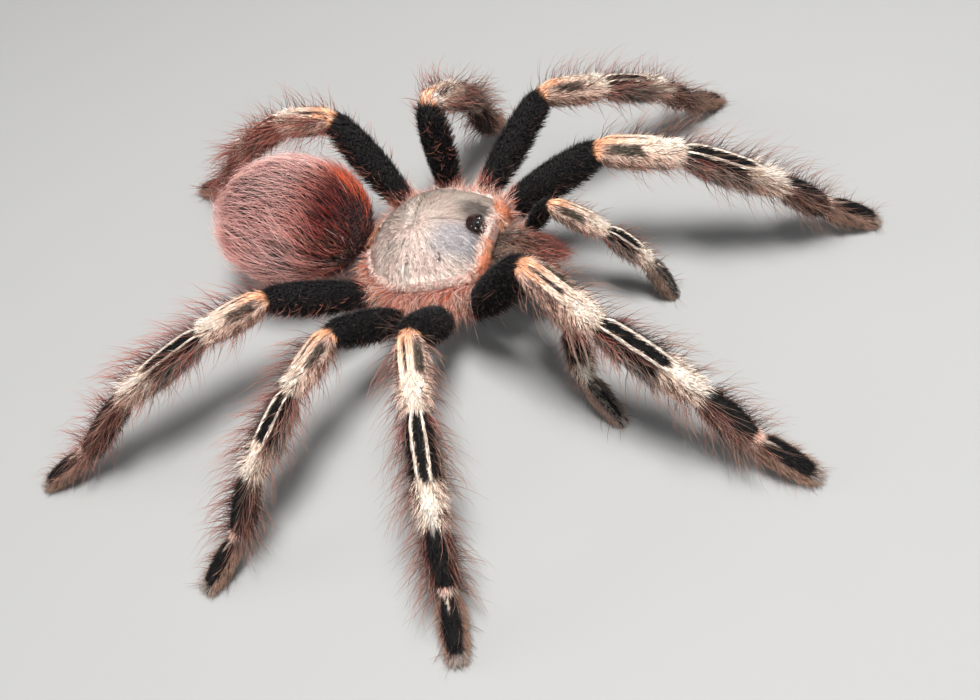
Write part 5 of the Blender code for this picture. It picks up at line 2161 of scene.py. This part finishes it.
def grain_group() -> bpy.types.NodeTree:
    """A group that varies a colour and gives a bump height: fine noise on Object coordinates."""
    tree = bpy.data.node_groups.new("Grain", "ShaderNodeTree")
    for name, kind in (("Colour", "NodeSocketColor"), ("Scale", "NodeSocketFloat"),
                       ("Amount", "NodeSocketFloat")):
        tree.interface.new_socket(name=name, in_out="INPUT", socket_type=kind)
    tree.interface.new_socket(name="Colour", in_out="OUTPUT", socket_type="NodeSocketColor")
    tree.interface.new_socket(name="Height", in_out="OUTPUT", socket_type="NodeSocketFloat")
    nodes, links = tree.nodes, tree.links
    start, end = nodes.new("NodeGroupInput"), nodes.new("NodeGroupOutput")
    place = nodes.new("ShaderNodeTexCoord")
    noise = nodes.new("ShaderNodeTexNoise")
    noise.inputs["Detail"].default_value = 4.0
    links.new(place.outputs["Object"], noise.inputs["Vector"])
    links.new(start.outputs["Scale"], noise.inputs["Scale"])
    spread = nodes.new("ShaderNodeMath")
    spread.operation = "MULTIPLY_ADD"
    spread.inputs[2].default_value = 1.0
    centre = nodes.new("ShaderNodeMath")
    centre.operation = "SUBTRACT"
    centre.inputs[1].default_value = 0.5
    links.new(noise.outputs["Fac"], centre.inputs[0])
    links.new(centre.outputs[0], spread.inputs[0])
    links.new(start.outputs["Amount"], spread.inputs[1])
    tint = nodes.new("ShaderNodeVectorMath")
    tint.operation = "SCALE"
    links.new(start.outputs["Colour"], tint.inputs[0])
    links.new(spread.outputs[0], tint.inputs["Scale"])
    links.new(tint.outputs[0], end.inputs["Colour"])
    links.new(noise.outputs["Fac"], end.inputs["Height"])
    return tree


@dataclass(frozen=True)
class Finish:
    """One material: a colour from the attribute Hue or fixed, grain at a scale, and its gloss."""

    name: str
    roughness: float
    colour: tuple | None = None
    scale: float = 900.0
    amount: float = 0.4
    bump: float = 0.0
    specular: float = 0.5
    coat: float = 0.0
    sheen: float = 0.0

    def build(self, grain: bpy.types.NodeTree) -> Material:
        """Makes the material.

        Args:
            grain: the shared grain group.
        Returns:
            The material.
        """
        material = bpy.data.materials.new(self.name)
        material.use_nodes = True
        nodes, links = material.node_tree.nodes, material.node_tree.links
        shader = nodes["Principled BSDF"]
        group = nodes.new("ShaderNodeGroup")
        group.node_tree = grain
        group.inputs["Scale"].default_value = self.scale
        group.inputs["Amount"].default_value = self.amount
        if self.colour is None:
            hue = nodes.new("ShaderNodeAttribute")
            hue.attribute_name = "Hue"
            links.new(hue.outputs["Color"], group.inputs["Colour"])
        else:
            group.inputs["Colour"].default_value = (*self.colour, 1)
        links.new(group.outputs["Colour"], shader.inputs["Base Color"])
        if self.bump:
            relief = nodes.new("ShaderNodeBump")
            relief.inputs["Strength"].default_value = self.bump
            relief.inputs["Distance"].default_value = 0.0002
            links.new(group.outputs["Height"], relief.inputs["Height"])
            links.new(relief.outputs["Normal"], shader.inputs["Normal"])
        shader.inputs["Roughness"].default_value = self.roughness
        shader.inputs["Specular IOR Level"].default_value = self.specular
        shader.inputs["Coat Weight"].default_value = self.coat
        shader.inputs["Sheen Weight"].default_value = self.sheen
        return material


# --- the studio


def hang(item: Item, right: Array, up: Array, back: Array, place: Array) -> None:
    """Puts an object in the scene with the given axes and place."""
    matrix = Matrix.Identity(4)
    for column, values in enumerate((right, up, back, place)):
        for row in range(3):
            matrix[row][column] = float(values[row])
    item.matrix_world = matrix
    bpy.context.scene.collection.objects.link(item)


@dataclass(frozen=True)
class Studio:
    """Camera, floor and lights. The camera's place is given in the animal's frame."""

    azimuth: float = 29.9
    elevation: float = 52.7
    roll: float = -17.4
    distance: float = 145.8
    target: tuple = (12.3, -16.3, 10.0)
    lens: float = 36.72

    def _axes(self) -> tuple[Array, Array, Array]:
        """Right, up and backward directions of the camera, in the row frame."""
        az, el, roll = (math.radians(angle) for angle in (self.azimuth, self.elevation, self.roll))
        back = np.array([math.sin(az) * math.cos(el), -math.cos(az) * math.cos(el), math.sin(el)])
        right = np.array([math.cos(az), math.sin(az), 0.0])
        up = np.cross(back, right)
        cosine, sine = math.cos(roll), math.sin(roll)
        return cosine * right + sine * up, cosine * up - sine * right, back

    def camera(self, stance: Stance) -> Item:
        """A camera that looks down on the animal from its front right.

        Args:
            stance: turns places into the row frame.
        Returns:
            The camera.
        """
        data = bpy.data.cameras.new("camera")
        data.lens = self.lens
        data.sensor_width = 36.0
        data.clip_start = 0.001
        data.clip_end = 10.0
        item = bpy.data.objects.new("camera", data)
        axes = self._axes()
        place = stance.to_row(np.array(self.target) + axes[2] * self.distance)
        hang(item, *(stance.turn(axis) for axis in axes), place)
        bpy.context.scene.camera = item
        return item

    @staticmethod
    def light(name: str, place: tuple, aim: tuple, size: float, power: float, tint: tuple) -> None:
        """A square area light that faces a point.

        Args:
            name: its name.
            place: where it hangs, in metres.
            aim: the point that it faces.
            size: its side.
            power: its watts.
            tint: its colour.
        """
        data = bpy.data.lights.new(name, "AREA")
        data.size = size
        data.energy = power
        data.color = tint
        item = bpy.data.objects.new(name, data)
        back = unit(np.array(place) - np.array(aim))
        right = unit(np.cross([0, 0, 1.0], back))
        hang(item, right, np.cross(back, right), back, place)

    def build(self, stance: Stance, floor_finish: Material) -> None:
        """Sets up floor, lights, backdrop light and camera.

        Args:
            stance: turns places into the row frame.
            floor_finish: the floor's material.
        """
        span = 2.0
        corners = np.array([[-span, -span, 0], [span, -span, 0], [span, span, 0], [-span, span, 0]])
        corners = corners - (0, 0, 1e-5)
        floor = new_object("studio_floor", corners, np.array([[0, 1, 2, 3]]), floor_finish)
        self.light("key", (-0.05, -0.09, 0.45), (0, 0, 0), 0.13, 4.6, (1.0, 0.99, 0.98))
        self.light("fill", (-0.45, -0.35, 0.35), (0, 0, 0), 0.5, 1.0, (0.92, 0.96, 1.0))
        self.light("rim", (-0.1, 0.5, 0.25), (0, 0, 0.01), 0.3, 1.0, (1.0, 0.98, 0.95))
        world = bpy.data.worlds.new("studio")
        world.use_nodes = True
        world.node_tree.nodes["Background"].inputs["Color"].default_value = (0.86, 0.86, 0.88, 1)
        world.node_tree.nodes["Background"].inputs["Strength"].default_value = 0.28
        bpy.context.scene.world = world
        bpy.context.scene.view_settings.view_transform = "Standard"
        self.camera(stance)


# --- putting it together


def main() -> None:
    """Builds the animal's looks on the frame, piece by piece."""
    logging.basicConfig(level=logging.INFO, format="%(message)s")
    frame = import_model()
    stance = Stance()
    grain = grain_group()
    skin_finish = Finish("hide", 0.75, scale=2500.0, amount=0.5, bump=0.5, specular=0.2).build(grain)
    coat_finish = Finish("coat_hair", 0.6, scale=700.0, amount=0.3, specular=0.22).build(grain)
    velvet_finish = Finish("velvet_hair", 0.65, scale=700.0, amount=0.3, specular=0.2).build(grain)
    plate_finish = Finish("carapace_shell", 0.6, scale=3000.0, amount=0.2, bump=0.15,
                          specular=0.25).build(grain)
    horn_finish = Finish("claw_horn", 0.25, (0.012, 0.009, 0.009), 1500.0, 0.6, 0.15, 0.5, 0.3).build(grain)
    eye_finish = Finish("eye_glass", 0.06, (0.006, 0.005, 0.006), 4000.0, 0.3, 0.0, 0.6, 1.0).build(grain)
    mound_finish = Finish("mound_shell", 0.75, (0.012, 0.008, 0.008), 5000.0, 0.7, 0.6, 0.2).build(grain)
    floor_finish = Finish("studio_paper", 0.9, (0.28, 0.28, 0.275), 60.0, 0.02, 0.0, 0.2).build(grain)

    forms = [LimbForm(Limb(side, key)) for side in ("right", "left") for key in ("1", "2", "3", "4", "palp")]
    Skin().build(forms, stance, skin_finish)
    CARAPACE.build(stance, plate_finish, coat_finish)
    Eyes().build(stance, mound_finish, eye_finish, coat_finish)
    Claws().build(forms, stance, horn_finish)
    for seed, form in enumerate(forms, 100):
        LimbCoat(form, seed).build(stance, coat_finish)
    ABDOMEN.build(stance, coat_finish)
    Skirt().build(stance, coat_finish)
    JAWS.build(stance, coat_finish)
    UNDERSIDE.build(stance, velvet_finish)
    for name in ("fang_left", "fang_right"):
        node = frame["nodes"][name]
        node.data.materials.clear()
        node.data.materials.append(horn_finish)
        LOG.info("%s: finish only", name)
    Studio().build(stance, floor_finish)


if __name__ == "__main__":
    main()
